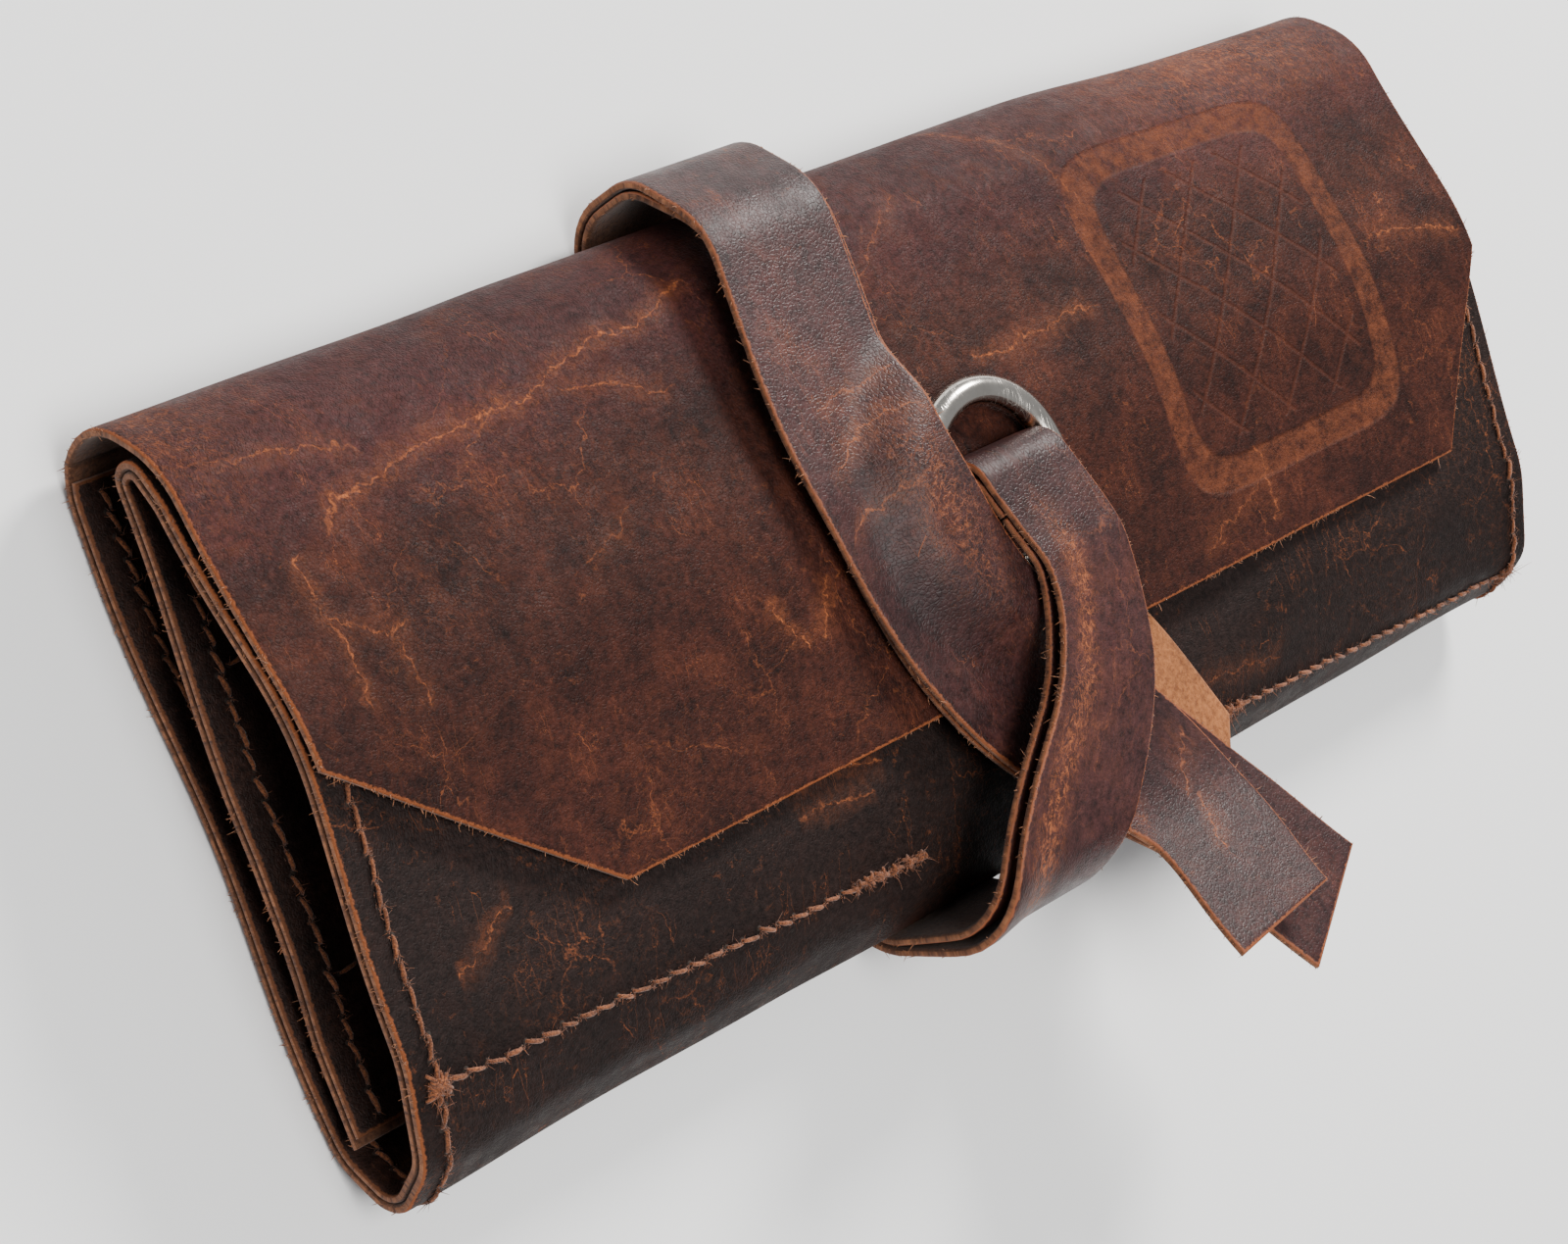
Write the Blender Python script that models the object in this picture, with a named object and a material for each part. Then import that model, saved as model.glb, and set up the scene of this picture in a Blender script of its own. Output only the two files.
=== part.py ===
"""A tied leather brush roll case: one rolled cover panel, two pocket strips sewn inside it, the thread
rows, and a doubled strap wrapped round it and tied through a steel ring.

Lengths are in millimetres until to_mesh() scales them to metres. X is the roll's axis, +Y its top fold,
and the back lies down. A sheet is drawn flat, in x and the distance s along its cross-section, and bent
by the section path; h is the height over the sheet's middle, positive on the grain side.
"""

import math

import bmesh
import bpy
import numpy as np

MM = 0.001

# The world's origin is under the middle of the whole object, tails included.
MIDDLE_Y = -22.2

# Roll
ROLL_LENGTH = 404.0
HALF = ROLL_LENGTH / 2
LEATHER = 2.0
POCKET_LEATHER = 1.8
GAP = 0.3
STACK = LEATHER + GAP + 0.15
SEAT = 0.9

# Flap
FLAP_CHAMFER_LEFT = 65.0
FLAP_CHAMFER_RIGHT = 34.0
FLAP_CHAMFER_RISE = 47.0

# Pockets and sewing
POCKET_REACH = 157.0
POCKET_TOP_Y = 68.0
EDGE_INSET = 6.5
THREAD_WIDTH = 1.2
THREAD_HEIGHT = 0.6
DIVIDER_SKEW = 0.055

# Strap and ring
STRAP_WIDTH = 38.0
STRAP_NECK_WIDTH = 28.0
STRAP_NECK_ENDS = (12.0, 72.0)
ANCHOR_NECK = 18.0
RING_RADIUS = 21.2
RING_WIRE_RADIUS = 3.4
RING_X = -2.4
RING_Y = -0.5
RING_DRAPE = 17.0
SLOT_WIDTH = 34.0
SLOT_Y = (-0.2, 5.4)
SLOT_X = -1.0

# Where the strap squeezes the roll
PINCH_X = -32.0
PINCH_HALF = 26.0
PINCH_FADE = 34.0
PINCH_LIFT = 3.95
PINCH_FULL_BELOW = 9.0
PINCH_NONE_ABOVE = 34.0
DIP_X = 24.0
DIP_HALF = 42.0
DIP_FADE = 34.0
DIP_DEPTH = 3.2
DIP_RAMP = 24.0

ARC_STEP = math.radians(18)
ARC_LONGEST = 10.0
STRAP_COLUMNS = 7

# (y, z, fillet radius) of the cover's middle surface, from the flap's free edge to the rolled-in end.
COVER_SECTION = (
    (-44.5, 42.0 + SEAT, 0.0),
    (8.0, 47.0 + SEAT, 90.0),
    (69.0, 35.5 + SEAT, 24.0),
    (84.5, 14.0 + SEAT, 16.0),
    (74.0, 1.0 + SEAT, 14.0),
    (-76.0, 1.0 + SEAT, 13.0),
    (-89.0, 12.0 + SEAT, 7.5),
    (-80.0, 27.0 + SEAT, 12.0),
    (-58.0, 37.0 + SEAT, 30.0),
    (12.0, 43.3 + SEAT, 90.0),
    (62.0, 32.2 + SEAT, 16.0),
    (76.0, 24.8 + SEAT, 5.5),
    (69.0, 19.0 + SEAT, 5.5),
    (36.0, 16.5 + SEAT, 60.0),
    (-10.0, 13.5 + SEAT, 60.0),
    (-50.0, 7.2 + SEAT, 40.0),
    (-73.0, 9.5 + SEAT, 0.0),
)
FLAP, FLAP_SLOPE, BACK, FRONT, MIDDLE_TOP, MIDDLE_END = 0, 1, 4, 8, 12, 15

# The same for the inner layer of the strap's turn, from the ring round the roll to under the knot, with
# its x at each corner. The outer layer lies one STACK outside it.
TURN_SECTION = (
    (-6.0, 59.5, 0.0),
    (-21.0, 61.7, 14.0),
    (-50.0, 58.6, 26.0),
    (-93.0, 48.0, 17.0),
    (-89.6, LEATHER / 2 + STACK, 14.0),
    (86.5, LEATHER / 2 + STACK, 13.0),
    (90.0, 26.0, 11.0),
    (76.0, 43.4, 18.0),
    (8.0, 51.0, 90.0),
    (-44.0, 46.1, 60.0),
    (-68.0, 42.8, 0.0),
)
TURN_X = (0.8, 4.0, -1.0, -28.0, -31.0, -33.0, -32.5, -34.0, -38.0, -15.5, 8.5)
DIAGONAL = -5
# The outer layer starts inside the ring, over the inner end's bend.
OUTER_START = ((3.9, 50.2, 0.0), (3.6, 58.09, 3.6))
OUTER_START_X = (-1.3, -1.3)

# Each layer's tail, from the knot out.
LOWER_TAIL_SECTION = ((-69.2, 42.6, 0.0), (-82.0, 41.6, 50.0), (-128.0, 52.0, 0.0))
LOWER_TAIL_X = (10.0, 22.0, 48.0)
UPPER_TAIL_SECTION = ((-69.2, 45.4, 0.0), (-82.0, 44.7, 50.0), (-121.0, 62.0, 0.0))
UPPER_TAIL_X = (10.0, 20.5, 28.0)

# The strap's inner end, from the ring down through the flap's slot and out under the flap.
ANCHOR_SECTION = (
    (-5.2, 59.38, 0.0),
    (2.6, 58.2, 3.8),
    (2.6, 43.9, 3.6),
    (-10.0, 43.3, 20.0),
    (-46.0, 40.0, 60.0),
    (-97.0, 37.5, 0.0),
)
ANCHOR_X = (0.6, -1.1, -1.3, 1.0, 21.0, 45.0)

# The (x, y) ends of the line on which the tails turn, just clear of the run that passes over them.
ROOT_LINE = ((19.5, -52.0), (1.0, -86.5))
ROOT_GAP = 0.2
ROOT_FADE = 30.0
ROOT_SEARCH = 20.0
HINGE_LIFT = 1.2


def smooth(value):
    """0 below 0 and 1 above 1, with a soft step between."""
    t = min(max(value, 0.0), 1.0)
    return t * t * (3 - 2 * t)


def plateau(x, centre, half, fade):
    """1 within half of the centre, falling to 0 over fade."""
    return 1 - smooth((abs(x - centre) - half) / fade)


class Section:
    """A polyline with rounded corners in the YZ plane, measured along its length."""

    def __init__(self, corners):
        points = [np.array(corner[:2]) for corner in corners]
        self.pieces = []
        self.corner_s = [0.0]
        self.length = 0.0
        here = points[0]
        for before, corner, after, spec in zip(points, points[1:], points[2:], corners[1:]):
            into = (corner - before) / np.linalg.norm(corner - before)
            out = (after - corner) / np.linalg.norm(after - corner)
            turn = math.atan2(into[0] * out[1] - into[1] * out[0], into @ out)
            cut = spec[2] * math.tan(abs(turn) / 2)
            self.add(here, into, np.linalg.norm(corner - cut * into - here), 0.0)
            self.corner_s.append(self.length + spec[2] * abs(turn) / 2)
            self.add(corner - cut * into, into, spec[2] * abs(turn), turn)
            here = corner + cut * out
        last = points[-1] - points[-2]
        self.add(here, last / np.linalg.norm(last), np.linalg.norm(points[-1] - here), 0.0)
        self.corner_s.append(self.length)

    def add(self, start, heading, length, turn):
        if length > 1e-6:
            self.pieces.append((self.length, start, heading, length, turn))
            self.length += length

    def at(self, s):
        """(y, z) and the grain side's normal at the distance s, run on straight past both ends."""
        piece = self.pieces[0]
        for candidate in self.pieces[1:]:
            if s >= candidate[0]:
                piece = candidate
        begin, start, heading, length, turn = piece
        along = s - begin
        if turn == 0.0 or along > length:
            angle = turn
        else:
            angle = turn * along / length
        if turn == 0.0:
            point = start + along * heading
        else:
            bent = turn * min(along, length) / length
            radius = length / turn
            side = np.array((-heading[1], heading[0]))
            point = start + radius * (math.sin(bent) * heading + (1 - math.cos(bent)) * side)
        cosine, sine = math.cos(angle), math.sin(angle)
        ahead = np.array((cosine * heading[0] - sine * heading[1], sine * heading[0] + cosine * heading[1]))
        if turn != 0.0 and along > length:
            point = point + (along - length) * ahead
        return point, np.array((-ahead[1], ahead[0]))

    def stations(self, low, high, longest=60.0, extra=()):
        """Distances at which a sheet needs a row: each piece's ends, and steps round each bend."""
        found = {low, high, *(s for s in extra if low < s < high)}
        for begin, _, _, length, turn in self.pieces:
            step = min(longest, ARC_LONGEST) if turn else longest
            count = max(math.ceil(abs(turn) / ARC_STEP), math.ceil(length / step))
            steps = (begin + length * k / count for k in range(count + 1))
            found |= {s for s in steps if low + 0.5 < s < high - 0.5}
        kept = []
        for s in sorted(found):
            if not kept or s - kept[-1] > 0.4:
                kept.append(s)
        kept[-1] = high
        return kept

    def s_at_y(self, first, last, y):
        """The distance between two corners at which the section reaches y."""
        low, high = self.corner_s[first], self.corner_s[last]
        falling = self.at(low)[0][0] > self.at(high)[0][0]
        for _ in range(60):
            middle = (low + high) / 2
            if (self.at(middle)[0][0] > y) == falling:
                low = middle
            else:
                high = middle
        return low


def smooth_curve(knots, values):
    """A function through the values at the knots, without corners."""
    knots = np.array(knots)
    values = np.array(values, float)
    slopes = np.gradient(values, knots)

    def curve(t):
        t = min(max(t, knots[0] - 60), knots[-1] + 60)
        if t <= knots[0]:
            return values[0] + slopes[0] * (t - knots[0])
        if t >= knots[-1]:
            return values[-1] + slopes[-1] * (t - knots[-1])
        k = int(np.searchsorted(knots, t)) - 1
        span = knots[k + 1] - knots[k]
        u = (t - knots[k]) / span
        rise = u * u * (3 - 2 * u)
        start = (u - 2 * u * u + u**3) * span * slopes[k]
        end = (u**3 - u * u) * span * slopes[k + 1]
        return values[k] * (1 - rise) + values[k + 1] * rise + start + end

    return curve


cover_section = Section(COVER_SECTION)
DIP_START = cover_section.corner_s[FRONT] - 14.0
DIP_END = cover_section.corner_s[FRONT + 2] + 4.0


def cover_point(x, s, h):
    """A point of the cover, or of what is sewn to it, with the strap's squeeze."""
    (y, z), (ny, nz) = cover_section.at(s)
    y, z = y + h * ny, z + h * nz
    height = 1 - smooth((z - PINCH_FULL_BELOW) / (PINCH_NONE_ABOVE - PINCH_FULL_BELOW))
    if s > cover_section.corner_s[2]:
        z += PINCH_LIFT * height * plateau(x, PINCH_X, PINCH_HALF, PINCH_FADE)
    over_front = smooth((s - DIP_START) / DIP_RAMP) * smooth((DIP_END - s) / DIP_RAMP)
    z -= DIP_DEPTH * over_front * plateau(x, DIP_X, DIP_HALF, DIP_FADE)
    return x, y, z


def ring_bump(x, y, layer):
    """How far the strap that lies over the ring's side is held up by it, wider for the outer layer."""
    away = math.hypot(x - RING_X, y - RING_Y) - (RING_RADIUS + RING_WIRE_RADIUS + 2.0 + layer)
    return (2 * RING_WIRE_RADIUS + 0.5) * (1 - smooth(away / RING_DRAPE))


def material(name, colour, roughness, metallic=0.0):
    made = bpy.data.materials.new(name)
    made.use_nodes = True
    shader = made.node_tree.nodes["Principled BSDF"]
    shader.inputs["Base Color"].default_value = (*colour, 1.0)
    shader.inputs["Roughness"].default_value = roughness
    shader.inputs["Metallic"].default_value = metallic
    return made


def placed(point):
    """A point of the roll in the world, in metres."""
    x, y, z = point
    return x * MM, (y - MIDDLE_Y) * MM, z * MM


def to_mesh(name, points, faces, look, origin=(0.0, 0.0, 0.0)):
    """A mesh object in metres with its origin where it turns, and its faces looking out."""
    mesh = bpy.data.meshes.new(name)
    mesh.from_pydata([[(c - o) * MM for c, o in zip(point, origin)] for point in points], [], faces)
    shape = bmesh.new()
    shape.from_mesh(mesh)
    bmesh.ops.recalc_face_normals(shape, faces=shape.faces)
    if shape.calc_volume(signed=True) < 0:
        bmesh.ops.reverse_faces(shape, faces=shape.faces)
    shape.to_mesh(mesh)
    shape.free()
    mesh.materials.append(look)
    made = bpy.data.objects.new(name, mesh)
    made.location = placed(origin)
    bpy.context.collection.objects.link(made)
    return made


def slab(name, upper, lower, look, holes=(), origin=(0.0, 0.0, 0.0)):
    """A closed sheet between two grids of points, open at the cells listed in holes."""
    rows, columns = len(upper), len(upper[0])
    points = [point for grid in (upper, lower) for row in grid for point in row]
    under = rows * columns
    cells = {(i, j) for i in range(rows - 1) for j in range(columns - 1)} - set(holes)
    faces = []
    for i, j in sorted(cells):
        corners = [i * columns + j, i * columns + j + 1, (i + 1) * columns + j + 1, (i + 1) * columns + j]
        faces.append(corners)
        faces.append([under + k for k in reversed(corners)])
        beside = ((i - 1, j), (i, j + 1), (i + 1, j), (i, j - 1))
        for side, neighbour in enumerate(beside):
            if neighbour not in cells:
                a, b = corners[side], corners[(side + 1) % 4]
                faces.append([b, a, under + a, under + b])
    used = sorted({k for face in faces for k in face})
    index = {k: new for new, k in enumerate(used)}
    faces = [[index[k] for k in face] for face in faces]
    return to_mesh(name, [points[k] for k in used], faces, look, origin)


def cover_sheet(name, s_rows, x_rows, middle, thickness, look, holes=()):
    """A sheet lying along the cover at the height middle; x_rows gives each row's x values."""
    grids = [
        [[cover_point(x, s, middle + side * thickness / 2) for x in xs] for s, xs in zip(s_rows, x_rows)]
        for side in (1, -1)
    ]
    return slab(name, *grids, look, holes)


def thread(name, path, height, look):
    """A flat thread row over the cover through the (x, s) points of path."""
    upper, lower = [], []
    for k, (x, s) in enumerate(path):
        x0, s0 = path[max(k - 1, 0)]
        x1, s1 = path[min(k + 1, len(path) - 1)]
        run = math.hypot(x1 - x0, s1 - s0)
        across = ((s1 - s0) / run * THREAD_WIDTH / 2, -(x1 - x0) / run * THREAD_WIDTH / 2)
        for grid, side in ((upper, 1), (lower, -1)):
            level = height + side * THREAD_HEIGHT / 2
            grid.append([cover_point(x + k * across[0], s + k * across[1], level) for k in (-1, 1)])
    return slab(name, upper, lower, look)


def beyond_root(x, y):
    """How far a point lies beyond the line on which the tails turn."""
    (ax, ay), (bx, by) = ROOT_LINE
    return ((x - ax) * (ay - by) - (y - ay) * (ax - bx)) / math.hypot(bx - ax, by - ay)


class Strap:
    """A strap along a section, square across at each distance v; w runs from -1 to 1 over its width."""

    def __init__(self, section, xs, half_width):
        self.section = section
        self.across = smooth_curve(section.corner_s, xs)
        self.half_width = half_width

    def at(self, v, w, h):
        """The point at the height h over the strap's middle, and its distance along the section."""
        slope = self.across(v + 0.5) - self.across(v - 0.5)
        norm = math.hypot(1.0, slope)
        half = self.half_width(v)
        along = v - w * half * slope / norm
        (y, z), (ny, nz) = self.section.at(along)
        return (self.across(v) + w * half / norm, y - h * ny, z - h * nz), along

    def root_shift(self, w, root, clear):
        """How far the row at the distance root moves at w to lie along the tails' turning line."""
        low, high = root - ROOT_SEARCH, root + ROOT_SEARCH
        for _ in range(40):
            middle = (low + high) / 2
            (x, y, _), _ = self.at(middle, w, 0.0)
            if beyond_root(x, y) > clear:
                high = middle
            else:
                low = middle
        return low - root


def strap_sheet(name, strap, rows, layer, look, shape, root=None, clear=0.0, origin=(0.0, 0.0, 0.0)):
    """A closed strap; shape bends the finished points, and the row at root is cut along the turning line."""
    columns = np.linspace(-1, 1, STRAP_COLUMNS)
    shifts = [0.0 if root is None else strap.root_shift(w, root, clear) for w in columns]
    grids = ([], [])
    for v in rows:
        near = 0.0 if root is None else 1 - smooth(abs(v - root) / ROOT_FADE)
        for grid, side in zip(grids, (1, -1)):
            row = []
            for w, shift in zip(columns, shifts):
                (x, y, z), along = strap.at(v + near * shift, w, layer + side * LEATHER / 2)
                row.append(shape(x, y, z, along))
            grid.append(row)
    return slab(name, *grids, look, origin=origin)


def make_cover(look):
    """The one cover panel, with its chamfered flap and the slot that the strap comes up through."""
    slot_x = (SLOT_X - SLOT_WIDTH / 2, SLOT_X + SLOT_WIDTH / 2)
    slot_s = [cover_section.s_at_y(FLAP, FLAP_SLOPE + 1, y) for y in SLOT_Y]
    rise = cover_section.s_at_y(FLAP, FLAP_SLOPE + 1, COVER_SECTION[0][0] + FLAP_CHAMFER_RISE)
    s_rows = cover_section.stations(0.0, cover_section.length, extra=(*slot_s, rise))
    inner = [-75, -58, -45, -30, slot_x[0], -7, 5, slot_x[1], 30, 45, 66, 84]
    x_rows = []
    for s in s_rows:
        cut = max(0.0, 1 - s / rise)
        left = np.linspace(-HALF + cut * FLAP_CHAMFER_LEFT, -92, 4)
        right = np.linspace(102, HALF - cut * FLAP_CHAMFER_RIGHT, 4)
        x_rows.append([*left, *inner, *right])
    slot_columns = [4 + inner.index(x) for x in slot_x]
    slot_rows = [min(range(len(s_rows)), key=lambda k: abs(s_rows[k] - s)) for s in slot_s]
    holes = [(i, j) for i in range(*slot_rows) for j in range(*slot_columns)]
    return cover_sheet("cover_panel", s_rows, x_rows, 0.0, LEATHER, look, holes)


def make_pocket(name, side, look):
    """One pocket strip on the cover's flesh side, from the top of the back to the rolled-in end."""
    s_rows = cover_section.stations(POCKET_START, POCKET_END)
    columns = LEFT_COLUMNS if side < 0 else RIGHT_COLUMNS
    middle = -(LEATHER / 2 + GAP + POCKET_LEATHER / 2)
    return cover_sheet(name, s_rows, [columns] * len(s_rows), middle, POCKET_LEATHER, look)


def make_threads(side_name, side, look):
    """The end row and the divider rows of one pocket strip, each outside on the cover and inside."""
    heights = {
        "outer": LEATHER / 2 + GAP + THREAD_HEIGHT / 2,
        "inner": -(LEATHER / 2 + GAP + POCKET_LEATHER + GAP + THREAD_HEIGHT / 2),
    }
    end_x = side * (HALF - EDGE_INSET)
    start_x = side * (HALF - EDGE_INSET - 2.0)
    columns = LEFT_COLUMNS if side < 0 else RIGHT_COLUMNS
    for face, height in heights.items():
        rows = cover_section.stations(POCKET_START + 3.0, POCKET_END - 3.0)
        thread(f"end_seam_{side_name}_{face}", [(end_x, s) for s in rows], height, look)
        for number, (s, skew, reach) in enumerate(DIVIDERS, 1):
            stop_x = side * (HALF - reach)
            xs = [start_x, *(x for x in columns if abs(stop_x) < abs(x) < abs(start_x) - 3), stop_x]
            path = [(x, s - skew * (x + HALF)) for x in sorted(xs)]
            thread(f"divider_seam_{side_name}_{number}_{face}", path, height, look)


def ring_plane():
    """The ring's centre, and its tilt about X as it lies on the flap."""
    s = cover_section.s_at_y(FLAP, FLAP_SLOPE + 1, RING_Y)
    (y, z), (ny, nz) = cover_section.at(s)
    lift = LEATHER / 2 + GAP + RING_WIRE_RADIUS
    return (RING_X, y + lift * ny, z + lift * nz), math.atan2(-ny, nz)


def make_ring(look):
    centre, tilt = ring_plane()
    bpy.ops.mesh.primitive_torus_add(
        major_segments=56,
        minor_segments=12,
        major_radius=RING_RADIUS * MM,
        minor_radius=RING_WIRE_RADIUS * MM,
        location=placed(centre),
        rotation=(tilt, 0, 0),
    )
    ring = bpy.context.object
    ring.name = "closure_ring"
    ring.data.materials.append(look)
    for face in ring.data.polygons:
        face.use_smooth = True


def neck(v):
    """The strap's half width, bunched where it passes through the ring."""
    start, end = STRAP_NECK_ENDS
    return (STRAP_NECK_WIDTH + (STRAP_WIDTH - STRAP_NECK_WIDTH) * smooth((v - start) / (end - start))) / 2


def full_width(v):
    return STRAP_WIDTH / 2


def as_is(x, y, z, along):
    return x, y, z


def over_ring(diagonal_from, layer):
    """The strap's last run is held up by the ring's side and lies flat elsewhere."""

    def shape(x, y, z, along):
        return x, y, z + (ring_bump(x, y, layer) if along > diagonal_from else 0.0)

    return shape


def make_turn(name, corners, xs, layer, look):
    """One layer of the doubled strap, from the ring round the roll to under the knot."""
    section = Section(corners)
    lead = section.length - Section(TURN_SECTION).length
    rows = section.stations(0.0, section.length, longest=4)
    shape = over_ring(section.corner_s[DIAGONAL], layer)
    strap = Strap(section, xs, lambda v: neck(v - lead))
    strap_sheet(name, strap, rows, layer, look, shape, section.length, -ROOT_GAP)


def make_tail(name, corners, xs, look):
    """One tail, turning about a line just over the upper tail, where the two leave the knot."""
    section = Section(corners)
    (ax, ay), (bx, by) = ROOT_LINE
    origin = ((ax + bx) / 2, (ay + by) / 2, UPPER_TAIL_SECTION[0][1] + LEATHER / 2 + HINGE_LIFT)
    rows = section.stations(0.0, section.length, longest=16)
    strap = Strap(section, xs, full_width)
    strap_sheet(name, strap, rows, 0.0, look, as_is, 0.0, ROOT_GAP, origin)


def make_anchor(look):
    """The strap's inner end, which keeps the ring on the flap."""
    section = Section(ANCHOR_SECTION)
    rows = section.stations(0.0, section.length, longest=8)
    strap = Strap(section, ANCHOR_X, lambda v: neck(v - ANCHOR_NECK))
    strap_sheet("strap_anchor_end", strap, rows, 0.0, look, as_is)


def main():
    for old in list(bpy.data.objects):
        bpy.data.objects.remove(old, do_unlink=True)
    cover_look = material("cover leather", (0.105, 0.036, 0.024), 0.5)
    pocket_look = material("pocket leather", (0.032, 0.018, 0.014), 0.6)
    strap_look = material("strap leather", (0.085, 0.034, 0.026), 0.45)
    flesh_look = material("strap flesh side", (0.30, 0.13, 0.055), 0.85)
    thread_look = material("waxed thread", (0.30, 0.11, 0.035), 0.7)
    steel_look = material("nickel steel", (0.62, 0.60, 0.57), 0.22, 1.0)
    make_cover(cover_look)
    for side_name, side in (("left", -1), ("right", 1)):
        make_pocket(f"pocket_strip_{side_name}", side, pocket_look)
        make_threads(side_name, side, thread_look)
    make_turn("strap_inner_turn", TURN_SECTION, TURN_X, 0.0, strap_look)
    outer_section, outer_x = (*OUTER_START, *TURN_SECTION), (*OUTER_START_X, *TURN_X)
    make_turn("strap_outer_turn", outer_section, outer_x, STACK, strap_look)
    make_tail("strap_tail_lower", LOWER_TAIL_SECTION, LOWER_TAIL_X, strap_look)
    make_tail("strap_tail_upper", UPPER_TAIL_SECTION, UPPER_TAIL_X, strap_look)
    make_anchor(flesh_look)
    make_ring(steel_look)


POCKET_START = cover_section.s_at_y(BACK - 1, BACK, POCKET_TOP_Y)
POCKET_END = cover_section.length - 2.0
LEFT_COLUMNS = [*np.linspace(-HALF, -92, 4), -75, -58, POCKET_REACH - HALF]
RIGHT_COLUMNS = [HALF - POCKET_REACH, 66, 84, *np.linspace(102, HALF, 4)]
DIVIDERS = (
    (cover_section.s_at_y(BACK, BACK + 1, 30.0), 0.0, 144.0),
    (cover_section.s_at_y(BACK, BACK + 1, -36.0), 0.0, 144.0),
    (cover_section.s_at_y(FRONT - 1, FRONT + 1, -64.0), DIVIDER_SKEW, 153.0),
    (cover_section.s_at_y(FRONT, FRONT + 1, 4.0), 0.0, 144.0),
    (cover_section.s_at_y(MIDDLE_TOP, MIDDLE_END, 28.0), 0.0, 144.0),
    (cover_section.s_at_y(MIDDLE_TOP, MIDDLE_END, -38.0), 0.0, 144.0),
)

main()
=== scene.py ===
import math

import bmesh
import bpy
import numpy as np
from mathutils import Matrix, Vector


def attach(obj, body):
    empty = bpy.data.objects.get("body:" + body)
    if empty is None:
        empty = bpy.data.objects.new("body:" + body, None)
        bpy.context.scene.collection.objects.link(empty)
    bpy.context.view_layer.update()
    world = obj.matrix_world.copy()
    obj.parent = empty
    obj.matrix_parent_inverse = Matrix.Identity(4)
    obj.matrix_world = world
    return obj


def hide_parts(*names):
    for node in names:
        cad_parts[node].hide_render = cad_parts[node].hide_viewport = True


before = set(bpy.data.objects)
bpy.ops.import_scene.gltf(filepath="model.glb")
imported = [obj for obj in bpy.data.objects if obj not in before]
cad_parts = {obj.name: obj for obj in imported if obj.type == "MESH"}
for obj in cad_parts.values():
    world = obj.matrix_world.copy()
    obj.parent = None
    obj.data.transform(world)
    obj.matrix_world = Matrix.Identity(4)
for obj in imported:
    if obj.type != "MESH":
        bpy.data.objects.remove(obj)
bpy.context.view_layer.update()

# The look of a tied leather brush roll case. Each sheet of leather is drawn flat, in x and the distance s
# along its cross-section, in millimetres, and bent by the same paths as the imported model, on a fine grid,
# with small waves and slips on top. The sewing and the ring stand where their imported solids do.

MM = 0.001
# The roll's y that lies at the world's origin.
MIDDLE_Y = -22.2

ROLL_LENGTH = 404.0
HALF = ROLL_LENGTH / 2
LEATHER = 2.0
POCKET_LEATHER = 1.8
GAP = 0.3
# From one strap layer's middle to the next one's, and the back's height over the ground.
STACK = LEATHER + GAP + 0.15
SEAT = 0.9

FLAP_CHAMFER_LEFT = 65.0
FLAP_CHAMFER_RIGHT = 34.0
FLAP_CHAMFER_RISE = 47.0
# Rounded lengths of the flap's edges, for the number of fibres along them.
FLAP_EDGE = 305.0
LEFT_CHAMFER_EDGE = 80.0
RIGHT_CHAMFER_EDGE = 58.0

POCKET_REACH = 157.0
POCKET_TOP_Y = 68.0
EDGE_INSET = 6.5
DIVIDER_SKEW = 0.055
STITCH_PITCH = 5.3
STITCH_RADIUS = 0.5
# Loose fibres at each stitch, outside and inside.
FUZZ_OUTER = 26
FUZZ_INNER = 12

STRAP_WIDTH = 38.0
STRAP_NECK_WIDTH = 28.0
STRAP_NECK_ENDS = (12.0, 72.0)
ANCHOR_NECK = 18.0
RING_RADIUS = 21.2
RING_WIRE_RADIUS = 3.4
RING_X = -2.4
RING_Y = -0.5
RING_DRAPE = 17.0
SLOT_WIDTH = 34.0
SLOT_Y = (-0.2, 5.4)
SLOT_X = -1.0

# The strap's squeeze lifts the underside and dips the front, each at (middle x, half width, fade).
PINCH = (-32.0, 26.0, 34.0)
PINCH_LIFT = 3.95
PINCH_FULL_BELOW = 9.0
PINCH_NONE_ABOVE = 34.0
DIP = (24.0, 42.0, 34.0)
DIP_DEPTH = 3.2
DIP_RAMP = 24.0
# The leather's waves and where they start, towards both ends and above the ground.
RIPPLE = 0.55
RIPPLE_X = (60.0, 40.0)
RIPPLE_Z = (3.0, 6.0)
# The top fold's right end is drawn in by FOLD_PULL; the ends' outline waves in by END_WAVE.
FOLD_PULL = 4.5
FOLD_PULL_X = (55.0, 145.0)
FOLD_PULL_Y = (30.0, 45.0)
END_WAVE = 1.8
END_WAVE_X = (150.0, 50.0)

# The pressed panel on the flap: its middle, half its size, border, lattice and how square it is.
PANEL_X = 111.0
PANEL_S = 62.0
PANEL_HALF = 46.0
PANEL_BORDER = 8.0
PANEL_LATTICE = 10.0
PANEL_OFFSET = 20 * PANEL_LATTICE
PANEL_POWER = 7.0
# Half the widths of a crease's line and of the glow round it.
CREASE_LINE = 0.45
CREASE_GLOW = 5.5

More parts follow.
